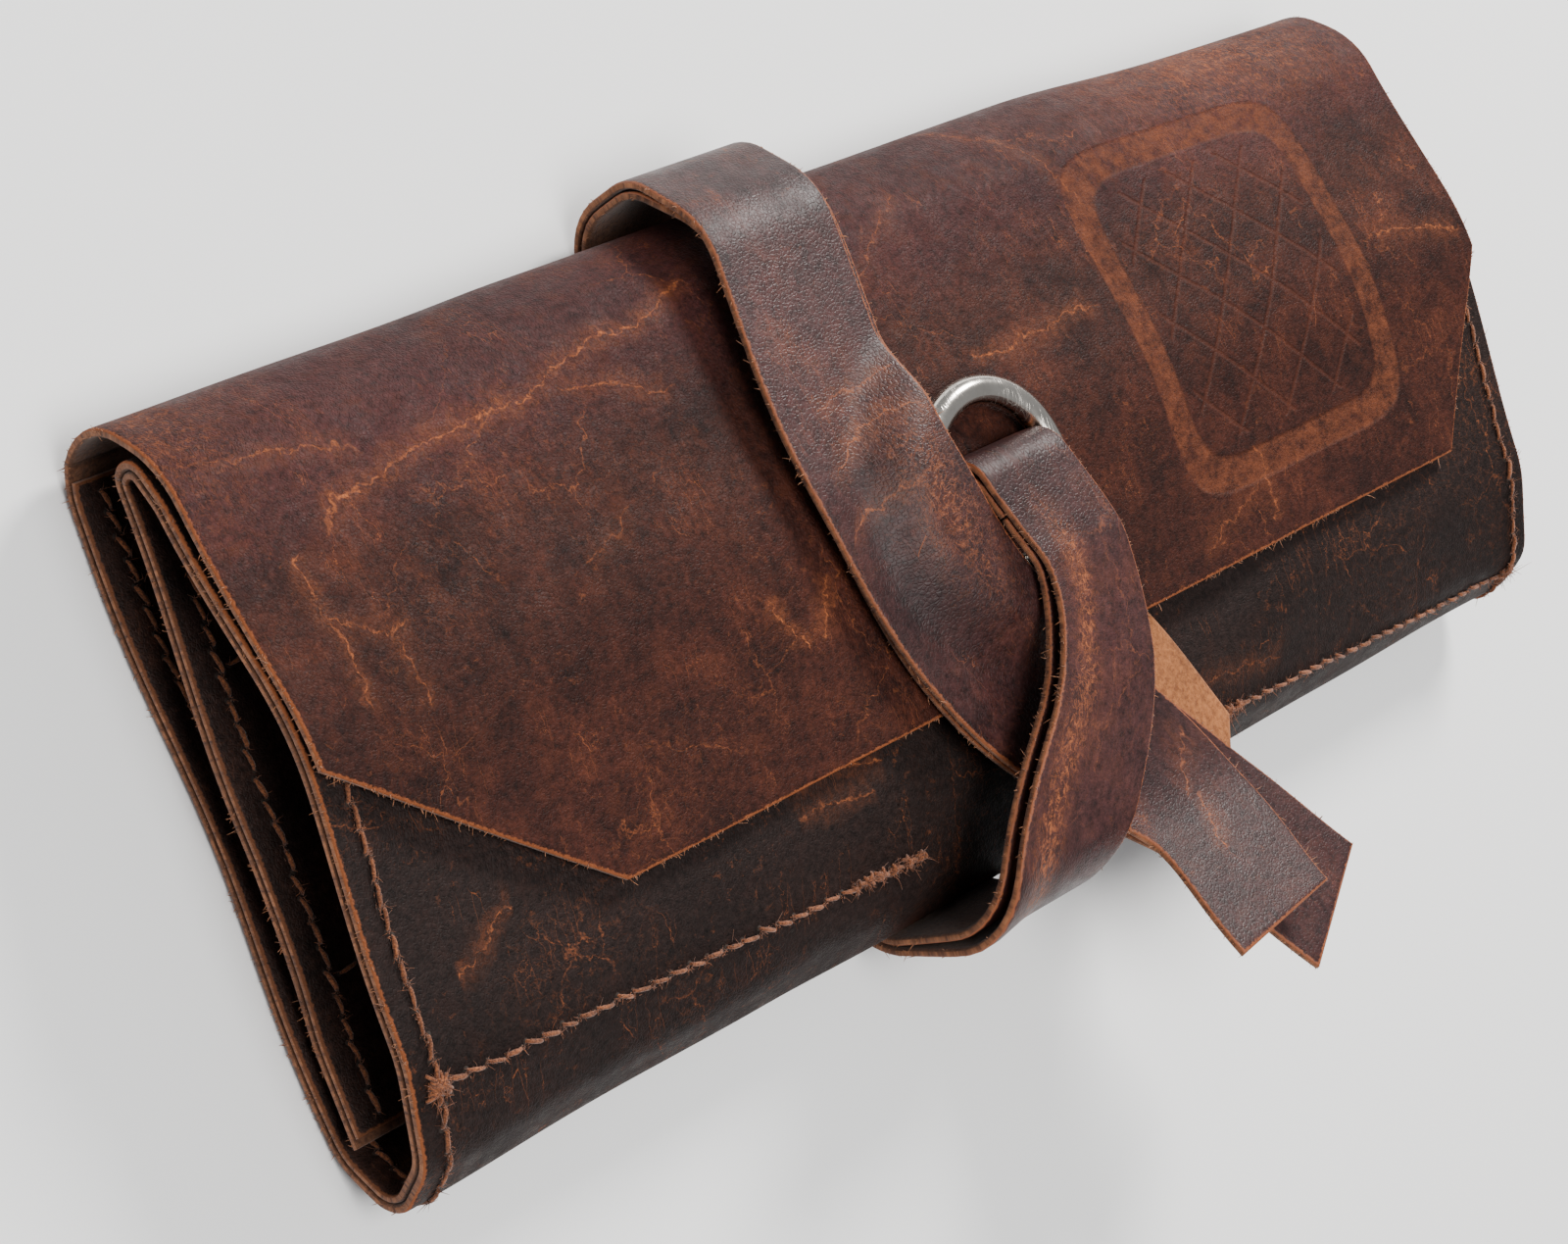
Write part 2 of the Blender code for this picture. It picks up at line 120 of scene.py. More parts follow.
# (y, z, fillet radius) of the cover's middle surface, from the flap's free edge to the rolled-in end.
COVER_SECTION = (
    (-44.5, 42.0, 0.0),
    (8.0, 47.0, 90.0),
    (69.0, 35.5, 24.0),
    (84.5, 14.0, 16.0),
    (74.0, 1.0, 14.0),
    (-76.0, 1.0, 13.0),
    (-89.0, 12.0, 7.5),
    (-80.0, 27.0, 12.0),
    (-58.0, 37.0, 30.0),
    (12.0, 43.3, 90.0),
    (62.0, 32.2, 16.0),
    (76.0, 24.8, 5.5),
    (69.0, 19.0, 5.5),
    (36.0, 16.5, 60.0),
    (-10.0, 13.5, 60.0),
    (-50.0, 7.2, 40.0),
    (-73.0, 9.5, 0.0),
)
COVER_SECTION = tuple((y, z + SEAT, fillet) for y, z, fillet in COVER_SECTION)
FLAP, FLAP_SLOPE, BACK, FRONT, MIDDLE_TOP, MIDDLE_END = 0, 1, 4, 8, 12, 15

# The same for the strap's inner layer, from the ring round the roll to the tails, and its x at each corner.
# Its diagonal, which crosses the ring's side, starts at the corner DIAGONAL.
TURN_SECTION = (
    (-6.0, 59.5, 0.0),
    (-21.0, 61.7, 14.0),
    (-50.0, 58.6, 26.0),
    (-93.0, 48.0, 17.0),
    (-89.6, LEATHER / 2 + STACK, 14.0),
    (86.5, LEATHER / 2 + STACK, 13.0),
    (90.0, 26.0, 11.0),
    (76.0, 43.4, 18.0),
    (8.0, 51.0, 90.0),
    (-44.0, 46.1, 60.0),
    (-68.0, 42.8, 0.0),
)
TURN_X = (0.8, 4.0, -1.0, -28.0, -31.0, -33.0, -32.5, -34.0, -38.0, -15.5, 8.5)
DIAGONAL = -5
# The outer layer bends down into the ring before it follows the inner one.
OUTER_START = ((3.9, 50.2, 0.0), (3.6, 58.09, 3.6))
OUTER_START_X = (-1.3, -1.3)
LOWER_TAIL_SECTION = ((-69.2, 42.6, 0.0), (-82.0, 41.6, 50.0), (-128.0, 52.0, 0.0))
LOWER_TAIL_X = (10.0, 23.0, 53.0)
UPPER_TAIL_SECTION = ((-69.2, 45.4, 0.0), (-82.0, 44.7, 50.0), (-121.0, 62.0, 0.0))
UPPER_TAIL_X = (10.0, 19.5, 24.5)
ANCHOR_SECTION = (
    (-5.2, 59.38, 0.0),
    (2.6, 58.2, 3.8),
    (2.6, 43.9, 3.6),
    (-10.0, 43.3, 20.0),
    (-46.0, 40.0, 60.0),
    (-97.0, 37.5, 0.0),
)
ANCHOR_X = (0.6, -1.1, -1.3, 1.0, 21.0, 45.0)
# The inner layer has slipped to the right by SLIP at these corners, from the top of the roll to the knot.
SLIP = 2.4
SLIP_CORNERS = (-4, -3)
CURL = 2.0
ANCHOR_CHAMFER = 12.0
# (middle, half, fade) of the curl and of the run's wear along the strap, (middle, width) of the diagonal's.
CURL_V = (78.0, 26.0, 34.0)
RUN_V = (84.0, 48.0, 26.0)
DIAGONAL_V = (432.0, 26.0)
# The line that the tails turn about, seen from above.
ROOT_LINE = ((19.5, -52.0), (1.0, -86.5))
ROOT_GAP = 0.2
ROOT_FADE = 30.0
ROOT_SEARCH = 20.0

# Distances in from a cut edge at which a fine sheet has its first lines, which round the edge off.
RIM = (0.0, 0.3, 0.8, 1.8)
RIM_ROUND = 0.7
# The longest steps between a sheet's rows and between its columns.
COVER_STEPS = (3.4, 2.7)
POCKET_STEPS = (3.4, 4.5)
STRAP_STEP = 2.6
STRAP_COLUMNS = 19
# The flap's columns further out than these move with its chamfers.
CHAMFER_LEFT_X = 60.0
CHAMFER_RIGHT_X = 70.0
# One torn fibre at most for each of these millimetres of cut edge.
FIBRE_SPACING = 0.16
# The step of a section's table, how far it runs on past both ends, and the lowest that a fibre lies.
TABLE_STEP = 0.25
TABLE_OVERRUN = 60.0
GROUND_CLEAR = 0.03

# Where the camera stands, and which way is right, up and ahead in its picture.
CAMERA_PLACE = (-0.60874, 0.07285, 0.64560)
CAMERA_RIGHT = (0.6753, -0.3661, 0.6402)
CAMERA_UP = (0.3203, 0.9276, 0.1926)
CAMERA_AHEAD = (0.6643, -0.0750, -0.7437)
LENS = 85.5
SENSOR = 36.0


def smooth(value):
    """0 below 0 and 1 above 1, with a soft step between."""
    t = np.clip(value, 0.0, 1.0)
    return t * t * (3 - 2 * t)


def ramp(value):
    """A straight ramp from 0 to 1."""
    return np.clip(value, 0.0, 1.0)


def plateau(x, centre, half, fade):
    """1 within half of the centre, falling to 0 over fade."""
    return 1 - smooth((np.abs(x - centre) - half) / fade)


def hump(value, centre, width):
    """A bell of height 1 round the centre."""
    return np.exp(-(((value - centre) / width) ** 2))


class Section:
    """A polyline with rounded corners in the YZ plane, measured along its length and kept as a table.

    The corners are (y, z, fillet radius).
    """

    def __init__(self, corners):
        points = [np.array(corner[:2]) for corner in corners]
        self.pieces = []
        self.corner_s = [0.0]
        self.length = 0.0
        here = points[0]
        for before, corner, after, spec in zip(points, points[1:], points[2:], corners[1:]):
            into = (corner - before) / np.linalg.norm(corner - before)
            out = (after - corner) / np.linalg.norm(after - corner)
            turn = math.atan2(into[0] * out[1] - into[1] * out[0], into @ out)
            cut = spec[2] * math.tan(abs(turn) / 2)
            self.add(here, into, np.linalg.norm(corner - cut * into - here), 0.0)
            self.corner_s.append(self.length + spec[2] * abs(turn) / 2)
            self.add(corner - cut * into, into, spec[2] * abs(turn), turn)
            here = corner + cut * out
        last = points[-1] - points[-2]
        self.add(here, last / np.linalg.norm(last), np.linalg.norm(points[-1] - here), 0.0)
        self.corner_s.append(self.length)
        self.s = np.arange(-TABLE_OVERRUN, self.length + TABLE_OVERRUN, TABLE_STEP)
        self.rows = np.array([self.exact(s) for s in self.s])

    def add(self, start, heading, length, turn):
        if length > 1e-6:
            self.pieces.append((self.length, start, heading, length, turn))
            self.length += length

    def exact(self, s):
        """y, z and the normal at the distance s, run on straight past both ends."""
        piece = self.pieces[0]
        for candidate in self.pieces[1:]:
            if s >= candidate[0]:
                piece = candidate
        begin, start, heading, length, turn = piece
        along = s - begin
        angle = turn * along / length if turn else 0.0
        if turn:
            radius = length / turn
            side = np.array((-heading[1], heading[0]))
            point = start + radius * (math.sin(angle) * heading + (1 - math.cos(angle)) * side)
        else:
            point = start + along * heading
        cosine, sine = math.cos(angle), math.sin(angle)
        ahead = np.array((cosine * heading[0] - sine * heading[1], sine * heading[0] + cosine * heading[1]))
        return (*point, -ahead[1], ahead[0])

    def at(self, s):
        """y, z and the normal's y and z, as arrays."""
        return [np.interp(s, self.s, self.rows[:, k]) for k in range(4)]

    def stations(self, low, high, longest, extra=()):
        """Distances for a sheet's rows: close together at its ends and in tight bends."""
        fixed = [low + r for r in RIM] + [high - r for r in RIM] + [s for s in extra if low < s < high]
        found = list(fixed)
        for begin, _, _, length, turn in self.pieces:
            step = min(longest, max(0.9, 0.16 * length / abs(turn))) if turn else longest
            count = max(1, math.ceil(length / step))
            steps = (begin + length * k / count for k in range(count + 1))
            found += [s for s in steps if low + RIM[-1] < s < high - RIM[-1]]
        kept = []
        for s in sorted(found):
            if kept and s - kept[-1] < 0.25:
                if s in fixed and kept[-1] not in fixed:
                    kept[-1] = s
                continue
            kept.append(s)
        return np.array(kept)

    def s_at_y(self, first, last, y):
        """The distance between two corners at which the section reaches y."""
        inside = (self.s >= self.corner_s[first]) & (self.s <= self.corner_s[last])
        s, ys = self.s[inside], self.rows[inside, 0]
        if ys[0] > ys[-1]:
            s, ys = s[::-1], ys[::-1]
        return float(np.interp(y, ys, s))


def smooth_curve(knots, values):
    """A function through the values at the knots, without corners."""
    knots = np.array(knots)
    values = np.array(values, float)
    slopes = np.gradient(values, knots)

    def curve(t):
        t = np.asarray(t, float)
        k = np.clip(np.searchsorted(knots, t) - 1, 0, len(knots) - 2)
        span = knots[k + 1] - knots[k]
        u = np.clip((t - knots[k]) / span, 0, 1)
        rise = u * u * (3 - 2 * u)
        start = (u - 2 * u * u + u**3) * span * slopes[k]
        end = (u**3 - u * u) * span * slopes[k + 1]
        inside = values[k] * (1 - rise) + values[k + 1] * rise + start + end
        before = np.minimum(t - knots[0], 0) * slopes[0]
        after = np.maximum(t - knots[-1], 0) * slopes[-1]
        return inside + before + after

    return curve


cover_section = Section(COVER_SECTION)
DIP_START = cover_section.corner_s[FRONT] - 14.0
DIP_END = cover_section.corner_s[FRONT + 2] + 4.0
RISE_S = cover_section.s_at_y(FLAP, FLAP_SLOPE + 1, COVER_SECTION[0][0] + FLAP_CHAMFER_RISE)
POCKET_START = cover_section.s_at_y(BACK - 1, BACK, POCKET_TOP_Y)
POCKET_END = cover_section.length - 2.0
# (distance s at the roll's left end, slope, length) of each divider row of sewing.
DIVIDERS = (
    (cover_section.s_at_y(BACK, BACK + 1, 30.0), 0.0, 144.0),
    (cover_section.s_at_y(BACK, BACK + 1, -36.0), 0.0, 144.0),
    (cover_section.s_at_y(FRONT - 1, FRONT + 1, -64.0), DIVIDER_SKEW, 153.0),
    (cover_section.s_at_y(FRONT, FRONT + 1, 4.0), 0.0, 144.0),
    (cover_section.s_at_y(MIDDLE_TOP, MIDDLE_END, 28.0), 0.0, 144.0),
    (cover_section.s_at_y(MIDDLE_TOP, MIDDLE_END, -38.0), 0.0, 144.0),
)


def ripple(x, s):
    """The leather's slight waves towards both ends, where the strap doesn't hold it."""
    wave = np.sin(x / 23 + s / 31) + 0.7 * np.sin(x / 13 - s / 19 + 2) + 0.5 * np.sin(s / 11 + x / 37 + 4)
    return RIPPLE * wave / 2.2 * smooth((np.abs(x + 8) - RIPPLE_X[0]) / RIPPLE_X[1])


def cover_point(x, s, h):
    """Points of the cover, or of what is sewn to it, with the strap's squeeze."""
    y, z, ny, nz = cover_section.at(s)
    h = h + ripple(x, s) * smooth((z - RIPPLE_Z[0]) / RIPPLE_Z[1])
    y, z = y + h * ny, z + h * nz
    height = 1 - smooth((z - PINCH_FULL_BELOW) / (PINCH_NONE_ABOVE - PINCH_FULL_BELOW))
    lifted = PINCH_LIFT * height * plateau(x, *PINCH)
    z = z + np.where(s > cover_section.corner_s[2], lifted, 0.0)
    over_front = smooth((s - DIP_START) / DIP_RAMP) * smooth((DIP_END - s) / DIP_RAMP)
    z = z - DIP_DEPTH * over_front * plateau(x, *DIP)
    wave = END_WAVE * (0.5 + 0.5 * np.sin(s / 15 + 1.6 * np.sign(x)))
    x = x - np.sign(x) * wave * smooth((np.abs(x) - END_WAVE_X[0]) / END_WAVE_X[1])
    pull = smooth((x - FOLD_PULL_X[0]) / FOLD_PULL_X[1]) * smooth((y - FOLD_PULL_Y[0]) / FOLD_PULL_Y[1])
    y = y - FOLD_PULL * pull
    return np.stack([x, y, z], -1)


def ring_bump(x, y, layer):
    """How far the strap over the ring's side is held up by it, wider for the outer layer."""
    away = np.hypot(x - RING_X, y - RING_Y) - (RING_RADIUS + RING_WIRE_RADIUS + 2.0 + layer)
    return (2 * RING_WIRE_RADIUS + 0.5) * (1 - smooth(away / RING_DRAPE))


def to_object(name, points, faces, looks, indices, attributes):
    """A smooth-shaded piece, from the roll's millimetres to the world's metres.

    attributes gives each vertex a value or a vector under each key.
    """
    mesh = bpy.data.meshes.new(name)
    mesh.from_pydata(((np.asarray(points) - (0.0, MIDDLE_Y, 0.0)) * MM).tolist(), [], faces)
    for look in looks:
        mesh.materials.append(look)
    mesh.polygons.foreach_set("material_index", indices)
    mesh.polygons.foreach_set("use_smooth", [True] * len(faces))
    for key, values in attributes.items():
        values = np.asarray(values, np.float32)
        kind = "FLOAT" if values.ndim == 1 else "FLOAT_VECTOR"
        layer = mesh.attributes.new(key, kind, "POINT")
        layer.data.foreach_set("value" if kind == "FLOAT" else "vector", values.ravel())
    mesh.update()
    made = bpy.data.objects.new(name, mesh)
    bpy.context.scene.collection.objects.link(made)
    return made


def leather_sheet(name, point, first, second, edge, thickness, looks, worn=None, holes=(), flat=None):
    """A closed sheet of leather over the grids first and second of flat coordinates.

    point(first, second, h) bends it, edge is each vertex's distance from the nearest cut, and looks are the
    upper face's, the lower face's and the cut edge's.
    """
    rows, columns = first.shape
    half = thickness / 2 * (1 - 0.42 * np.clip(1 - edge / RIM_ROUND, 0, 1) ** 2)
    points = np.concatenate([point(first, second, side * half).reshape(-1, 3) for side in (1, -1)])
    under = rows * columns
    solid = np.ones((rows - 1, columns - 1), bool)
    for (i0, i1), (j0, j1) in holes:
        solid[i0:i1, j0:j1] = False
    faces, indices = [], []
    for i in range(rows - 1):
        for j in range(columns - 1):
            if not solid[i, j]:
                continue
            a = i * columns + j
            corners = (a, a + 1, a + columns + 1, a + columns)
            faces += [corners[::-1], tuple(under + k for k in corners)]
            indices += [0, 1]
            beside = ((i - 1, j), (i, j + 1), (i + 1, j), (i, j - 1))
            for side, (m, n) in enumerate(beside):
                if not (0 <= m < rows - 1 and 0 <= n < columns - 1 and solid[m, n]):
                    p, q = corners[side], corners[(side + 1) % 4]
                    faces.append((p, q, under + q, under + p))
                    indices.append(2)
    chart = np.stack([first, second, np.zeros_like(first)], -1) if flat is None else flat
    worn = np.zeros_like(first) if worn is None else worn
    attributes = {
        "flat": np.concatenate([chart.reshape(-1, 3)] * 2),
        "edge": np.concatenate([edge.ravel()] * 2),
        "worn": np.concatenate([worn.ravel()] * 2),
    }
    made = to_object(name, points, faces, looks, indices, attributes)
    turn_out(made)
    return made


def turn_out(made):
    """Faces the mesh outwards and drops the points that no face uses."""
    shape = bmesh.new()
    shape.from_mesh(made.data)
    bmesh.ops.delete(shape, geom=[v for v in shape.verts if not v.link_faces], context="VERTS")
    bmesh.ops.recalc_face_normals(shape, faces=shape.faces)
    shape.to_mesh(made.data)
    shape.free()


def spread_columns(low, high, longest, marks=()):
    """Column positions between two cut edges, close together near them, with the marks among them."""
    count = math.ceil((high - low - 2 * RIM[-1]) / longest)
    found = [low + r for r in RIM] + list(np.linspace(low + RIM[-1], high - RIM[-1], count + 1)[1:-1])
    found = [x for x in found if all(abs(x - m) > 0.8 for m in marks)]
    return np.array(sorted(found + [high - r for r in RIM] + list(marks)))


def make_cover(grain, flesh, cut):
    """The cover, with the flap's chamfers and the slot under the ring."""
    slot_x = [SLOT_X + side * SLOT_WIDTH / 2 for side in (-1, 1)]
    slot_s = [cover_section.s_at_y(FLAP, FLAP_SLOPE + 1, y) for y in SLOT_Y]
    s = cover_section.stations(0.0, cover_section.length, COVER_STEPS[0], (*slot_s, RISE_S))
    x = spread_columns(-HALF, HALF, COVER_STEPS[1], slot_x)
    cut_in = np.clip(1 - s / RISE_S, 0, 1)[:, None]
    low, high = -HALF + cut_in * FLAP_CHAMFER_LEFT, HALF - cut_in * FLAP_CHAMFER_RIGHT
    # The chamfers squeeze the outer columns only, so that the slot's stay where they are.
    left_share = ramp((-x[None, :] - CHAMFER_LEFT_X) / (HALF - CHAMFER_LEFT_X))
    right_share = ramp((x[None, :] - CHAMFER_RIGHT_X) / (HALF - CHAMFER_RIGHT_X))
    xs = x[None, :] + left_share * (low + HALF) + right_share * (high - HALF)
    ss = np.broadcast_to(s[:, None], xs.shape)
    edge = np.minimum(ss, cover_section.length - ss)
    for reach, away in ((FLAP_CHAMFER_LEFT, xs - low), (FLAP_CHAMFER_RIGHT, high - xs)):
        lean = np.where(ss < RISE_S, math.hypot(1, reach / RISE_S), 1.0)
        edge = np.minimum(edge, away / lean)
    slot_away = np.maximum(np.abs(xs - SLOT_X) - SLOT_WIDTH / 2, 0)
    slot_away = np.hypot(slot_away, np.maximum(np.abs(ss - np.mean(slot_s)) - np.ptp(slot_s) / 2, 0))
    edge = np.minimum(edge, slot_away)
    rows = [int(np.abs(s - v).argmin()) for v in slot_s]
    columns = [int(np.abs(x - v).argmin()) for v in slot_x]
    worn = 0.8 * hump(xs, 150, 45) * hump(ss, 128, 20) + 0.5 * hump(xs, -196, 14) * hump(ss, 130, 26)
    slot = (sorted(rows), sorted(columns))
    cover = leather_sheet("cover", cover_point, xs, ss, edge, LEATHER, (grain, flesh, cut), worn, [slot])
    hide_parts("cover_panel")
    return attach(cover, "roll")


def make_pocket(side_name, side, grain, flesh, cut):
    """One pocket strip, sewn on the cover's flesh side, with its own flesh side against it."""
    s = cover_section.stations(POCKET_START, POCKET_END, POCKET_STEPS[0])
    ends = sorted((side * HALF, side * (HALF - POCKET_REACH)))
    x = spread_columns(*ends, POCKET_STEPS[1])
    xs, ss = np.meshgrid(x, s)
    edge = np.minimum(np.minimum(xs - ends[0], ends[1] - xs), np.minimum(ss - s[0], s[-1] - ss))
    middle = -(LEATHER / 2 + GAP + POCKET_LEATHER / 2)

    def point(x, s, h):
        return cover_point(x, s, middle + h)

    name = f"pocket_{side_name}"
    pocket = leather_sheet(name, point, xs, ss, edge, POCKET_LEATHER, (flesh, grain, cut))
    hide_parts(f"pocket_strip_{side_name}")
    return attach(pocket, "roll")


class Strap:
    """A strap along a section, square across at each distance v; w runs from -1 to 1 over its width."""

    def __init__(self, corners, xs, half_width, bump=None, root=None, clear=0.0):
        self.section = Section(corners)
        self.across = smooth_curve(self.section.corner_s, xs)
        self.half_width = half_width
        self.bump = bump
        self.root = self.section.length if root == "end" else root
        self.clear = clear

    def at(self, v, w, h):
        """The point at the height h over the strap's middle."""
        slope = self.across(v + 0.5) - self.across(v - 0.5)
        norm = np.hypot(1.0, slope)
        half = self.half_width(v)
        along = v - w * half * slope / norm
        y, z, ny, nz = self.section.at(along)
        x, y, z = self.across(v) + w * half / norm, y - h * ny, z - h * nz
        if self.bump:
            z = z + self.bump(x, y, self.section.length - along)
        return np.stack([x, y, z], -1)

    def shifted(self, v, w):
        """v moved so that the row at the root lies along the tails' turning line."""
        if self.root is None:
            return v
        (ax, ay), (bx, by) = ROOT_LINE
        low, high = self.root - ROOT_SEARCH + 0 * w, self.root + ROOT_SEARCH + 0 * w
        for _ in range(24):
            middle = (low + high) / 2
            place = self.at(middle, w, 0.0)
            beyond = (place[..., 0] - ax) * (ay - by) - (place[..., 1] - ay) * (ax - bx)
            beyond = beyond / math.hypot(bx - ax, by - ay)
            high = np.where(beyond > self.clear, middle, high)
            low = np.where(beyond > self.clear, low, middle)
        return v + (low - self.root) * (1 - smooth(np.abs(v - self.root) / ROOT_FADE))


def neck(v):
    """The strap's half width, bunched where it passes through the ring."""
    start, end = STRAP_NECK_ENDS
    return (STRAP_NECK_WIDTH + (STRAP_WIDTH - STRAP_NECK_WIDTH) * smooth((v - start) / (end - start))) / 2


def full_width(v):
    return STRAP_WIDTH / 2 + 0 * v


def make_strap(name, node, body, strap, layer, looks, slot, lift, worn, tip=None):
    """One length of strap: lift(v, w) raises it from its solid's place, and tip(w) trims its far end."""
    v = strap.section.stations(0.0, strap.section.length, STRAP_STEP)
    rim = np.array(RIM) / (STRAP_WIDTH / 2)
    w = np.unique(np.concatenate([-1 + rim, np.linspace(-0.82, 0.82, STRAP_COLUMNS), 1 - rim]))
    ws, vs = np.meshgrid(w, v)
    edge = np.minimum(np.minimum(vs, strap.section.length - vs), (1 - np.abs(ws)) * STRAP_WIDTH / 2)
    placed = strap.shifted(vs, ws)
    if tip:
        placed = placed - tip(ws) * smooth((vs - strap.section.length + 40) / 40)

    def point(w, v, h):
        return strap.at(v, w, layer + h + lift(vs, ws))

    flat = np.stack([ws * strap.half_width(placed), placed, np.full_like(ws, 10.0 * layer)], -1)
    made = leather_sheet(name, point, ws, placed, edge, LEATHER, looks, worn(vs, ws), flat=flat)
    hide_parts(node)
    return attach(made, body)


class Fibres:
    """Collects thin closed tubes, the thread and the torn fibres of one piece, and makes one mesh of them."""

    def __init__(self, seed):
        self.random = np.random.default_rng(seed)
        self.points = []
        self.faces = []
        self.indices = []
        self.count = 0

    def tubes(self, paths, radii, sides=3, index=0):
        """A closed tube along each of the paths (n, k, 3), with its radius (n, k) at each point."""
        n, k, _ = paths.shape
        heading = np.gradient(paths, axis=1)
        heading /= np.maximum(np.linalg.norm(heading, axis=2, keepdims=True), 1e-9)
        steep = np.abs(heading.mean(axis=1, keepdims=True)[..., 2:3]) > 0.9
        across = np.cross(heading, np.where(steep, (1.0, 0.0, 0.0), (0.0, 0.0, 1.0)))
        across /= np.maximum(np.linalg.norm(across, axis=2, keepdims=True), 1e-9)
        over = np.cross(across, heading)
        angles = (np.arange(sides) * 2 * math.pi / sides)[:, None]
        ring = np.cos(angles) * across[:, :, None] + np.sin(angles) * over[:, :, None]
        self.points.append((paths[:, :, None] + np.asarray(radii)[:, :, None, None] * ring).reshape(-1, 3))
        base = self.count + np.arange(n)[:, None, None] * k * sides
        corner = np.arange(sides)
        beside = (corner + 1) % sides
        quads = np.stack([corner, beside, beside + sides, corner + sides], -1)
        quads = (quads + np.arange(k - 1)[:, None, None] * sides).reshape(-1, 4)
        caps = np.stack([corner[::-1], corner + (k - 1) * sides])
        for part in (quads, caps):
            found = (base + part).reshape(-1, part.shape[1])
            self.faces += found.tolist()
            self.indices += [index] * len(found)
        self.count += n * k * sides

    def hairs(self, starts, directions, lengths, radius, curl, index=0):
        """Short bent fibres."""
        bends = self.random.normal(0, curl, starts.shape)[:, None]
        steps = np.linspace(0, 1, 4)[:, None]
        reach = lengths[:, None, None]
        paths = starts[:, None] + directions[:, None] * reach * steps + bends * reach * steps**2
        taper = radius * np.array((1.0, 0.9, 0.7, 0.3)) * self.random.uniform(0.7, 1.3, (len(starts), 1))
        self.tubes(paths, taper, 3, index)

    def make(self, name, looks):
        """The mesh, with whatever would reach below the ground pressed flat on it."""
        points = np.concatenate(self.points)
        points[:, 2] = np.maximum(points[:, 2], GROUND_CLEAR)
        return to_object(name, points, self.faces, looks, self.indices, {})


def frames_at(point, a, b):
    """Points of the surface point(a, b, h), its two directions there and its normal."""
    here = point(a, b, 0.0)
    steps = (point(a + 0.2, b, 0.0), point(a, b + 0.2, 0.0), point(a, b, 0.2))
    return here, *((p - here) / np.linalg.norm(p - here, axis=-1, keepdims=True) for p in steps)


def scattered(random, here, first, second, spread, count):
    """Points strewn round here on the surface."""
    return here + random.normal(0, spread, (count, 1)) * first + random.normal(0, spread, (count, 1)) * second


def turned(random, first, second, count):
    """Directions every way along the surface."""
    turns = random.uniform(0, 2 * math.pi, (count, 1))
    return np.cos(turns) * first + np.sin(turns) * second


def stitch_row(fibres, point, start, end, fuzz):
    """Slanting stitches from start to end, (x, s) pairs, each between two holes, with loose fibres."""
    random = fibres.random
    run = np.subtract(end, start)
    count = max(2, round(float(np.hypot(*run)) / STITCH_PITCH))
    step = run / count
    heading = step / np.hypot(*step)
    beside = np.array((heading[1], -heading[0]))
    middles = np.array(start) + (np.arange(count)[:, None] + 0.5 + random.normal(0, 0.04, (count, 1))) * step
    middles += beside * random.normal(0, 0.16, (count, 1))
    lean = 0.2 + random.normal(0, 0.09, count)
    half = STITCH_PITCH * (0.46 + random.normal(0, 0.03, count))
    t = np.linspace(-1, 1, 9)
    along = (half[:, None] * t)[..., None]
    flat = middles[:, None] + along * heading + along * lean[:, None, None] * beside
    rise = 0.5 * random.uniform(0.75, 1.25, (count, 1)) - 0.95 * t**6 + random.normal(0, 0.05, (count, 9))
    swell = (1.12 - 0.45 * t**2) * random.uniform(0.85, 1.15, (count, 1))
    swell = swell * (1 + random.normal(0, 0.06, (count, 9)))
    fibres.tubes(point(flat[..., 0], flat[..., 1], rise), STITCH_RADIUS * swell, 7)
    ends = flat[:, (0, -1)].reshape(-1, 2)
    # Each stitch end gets a near-black plug, which is painted shade for its hole.
    holes = np.stack([point(ends[:, 0], ends[:, 1], h) for h in (-0.5, 0.03)], 1)
    fibres.tubes(holes, random.uniform(0.55, 0.85, (len(ends), 1)) * np.ones(2), 8, 1)
    total = fuzz * count
    picks = random.integers(0, count, total)
    at_hole = random.random(total) < 0.6
    reach = half[picks] * np.where(at_hole, random.choice((-1, 1), total), random.uniform(-1, 1, total))
    place = middles[picks] + reach[:, None] * heading + random.normal(0, 0.42, total)[:, None] * beside
    here, first, second, up = frames_at(point, place[:, 0], place[:, 1])
    directions = turned(random, first, second, total) + up * random.uniform(0.0, 0.6, (total, 1))
    starts = here + up * random.uniform(0.0, 0.8, (total, 1))
    fibres.hairs(starts, directions, random.gamma(4, 0.19, total), 0.095, 0.5)


def knot(fibres, point, x, s, size, count):
    """A fuzzy lump of thread ends."""
    random = fibres.random
    here, first, second, up = frames_at(point, np.float64(x), np.float64(s))
    loops = count // 8
    axes = turned(random, first, second, loops)
    middles = scattered(random, here, first, second, size * 0.25, loops)
    t = np.linspace(-1, 1, 7)[:, None]
    reach = size * random.uniform(0.35, 0.7, (loops, 1, 1))
    rise = 0.7 - 0.9 * t**2 + random.uniform(0, 0.5, (loops, 1, 1))
    paths = middles[:, None] + axes[:, None] * reach * t + up * rise
    fibres.tubes(paths, np.full((loops, 7), STITCH_RADIUS * 0.85), 6)
    bases = scattered(random, here, first, second, size * 0.36, count)
    directions = turned(random, first, second, count) + up * random.uniform(0.1, 0.9, (count, 1))
    fibres.hairs(bases + up * 0.4, directions, random.gamma(4, 0.3, count), 0.09, 0.6)


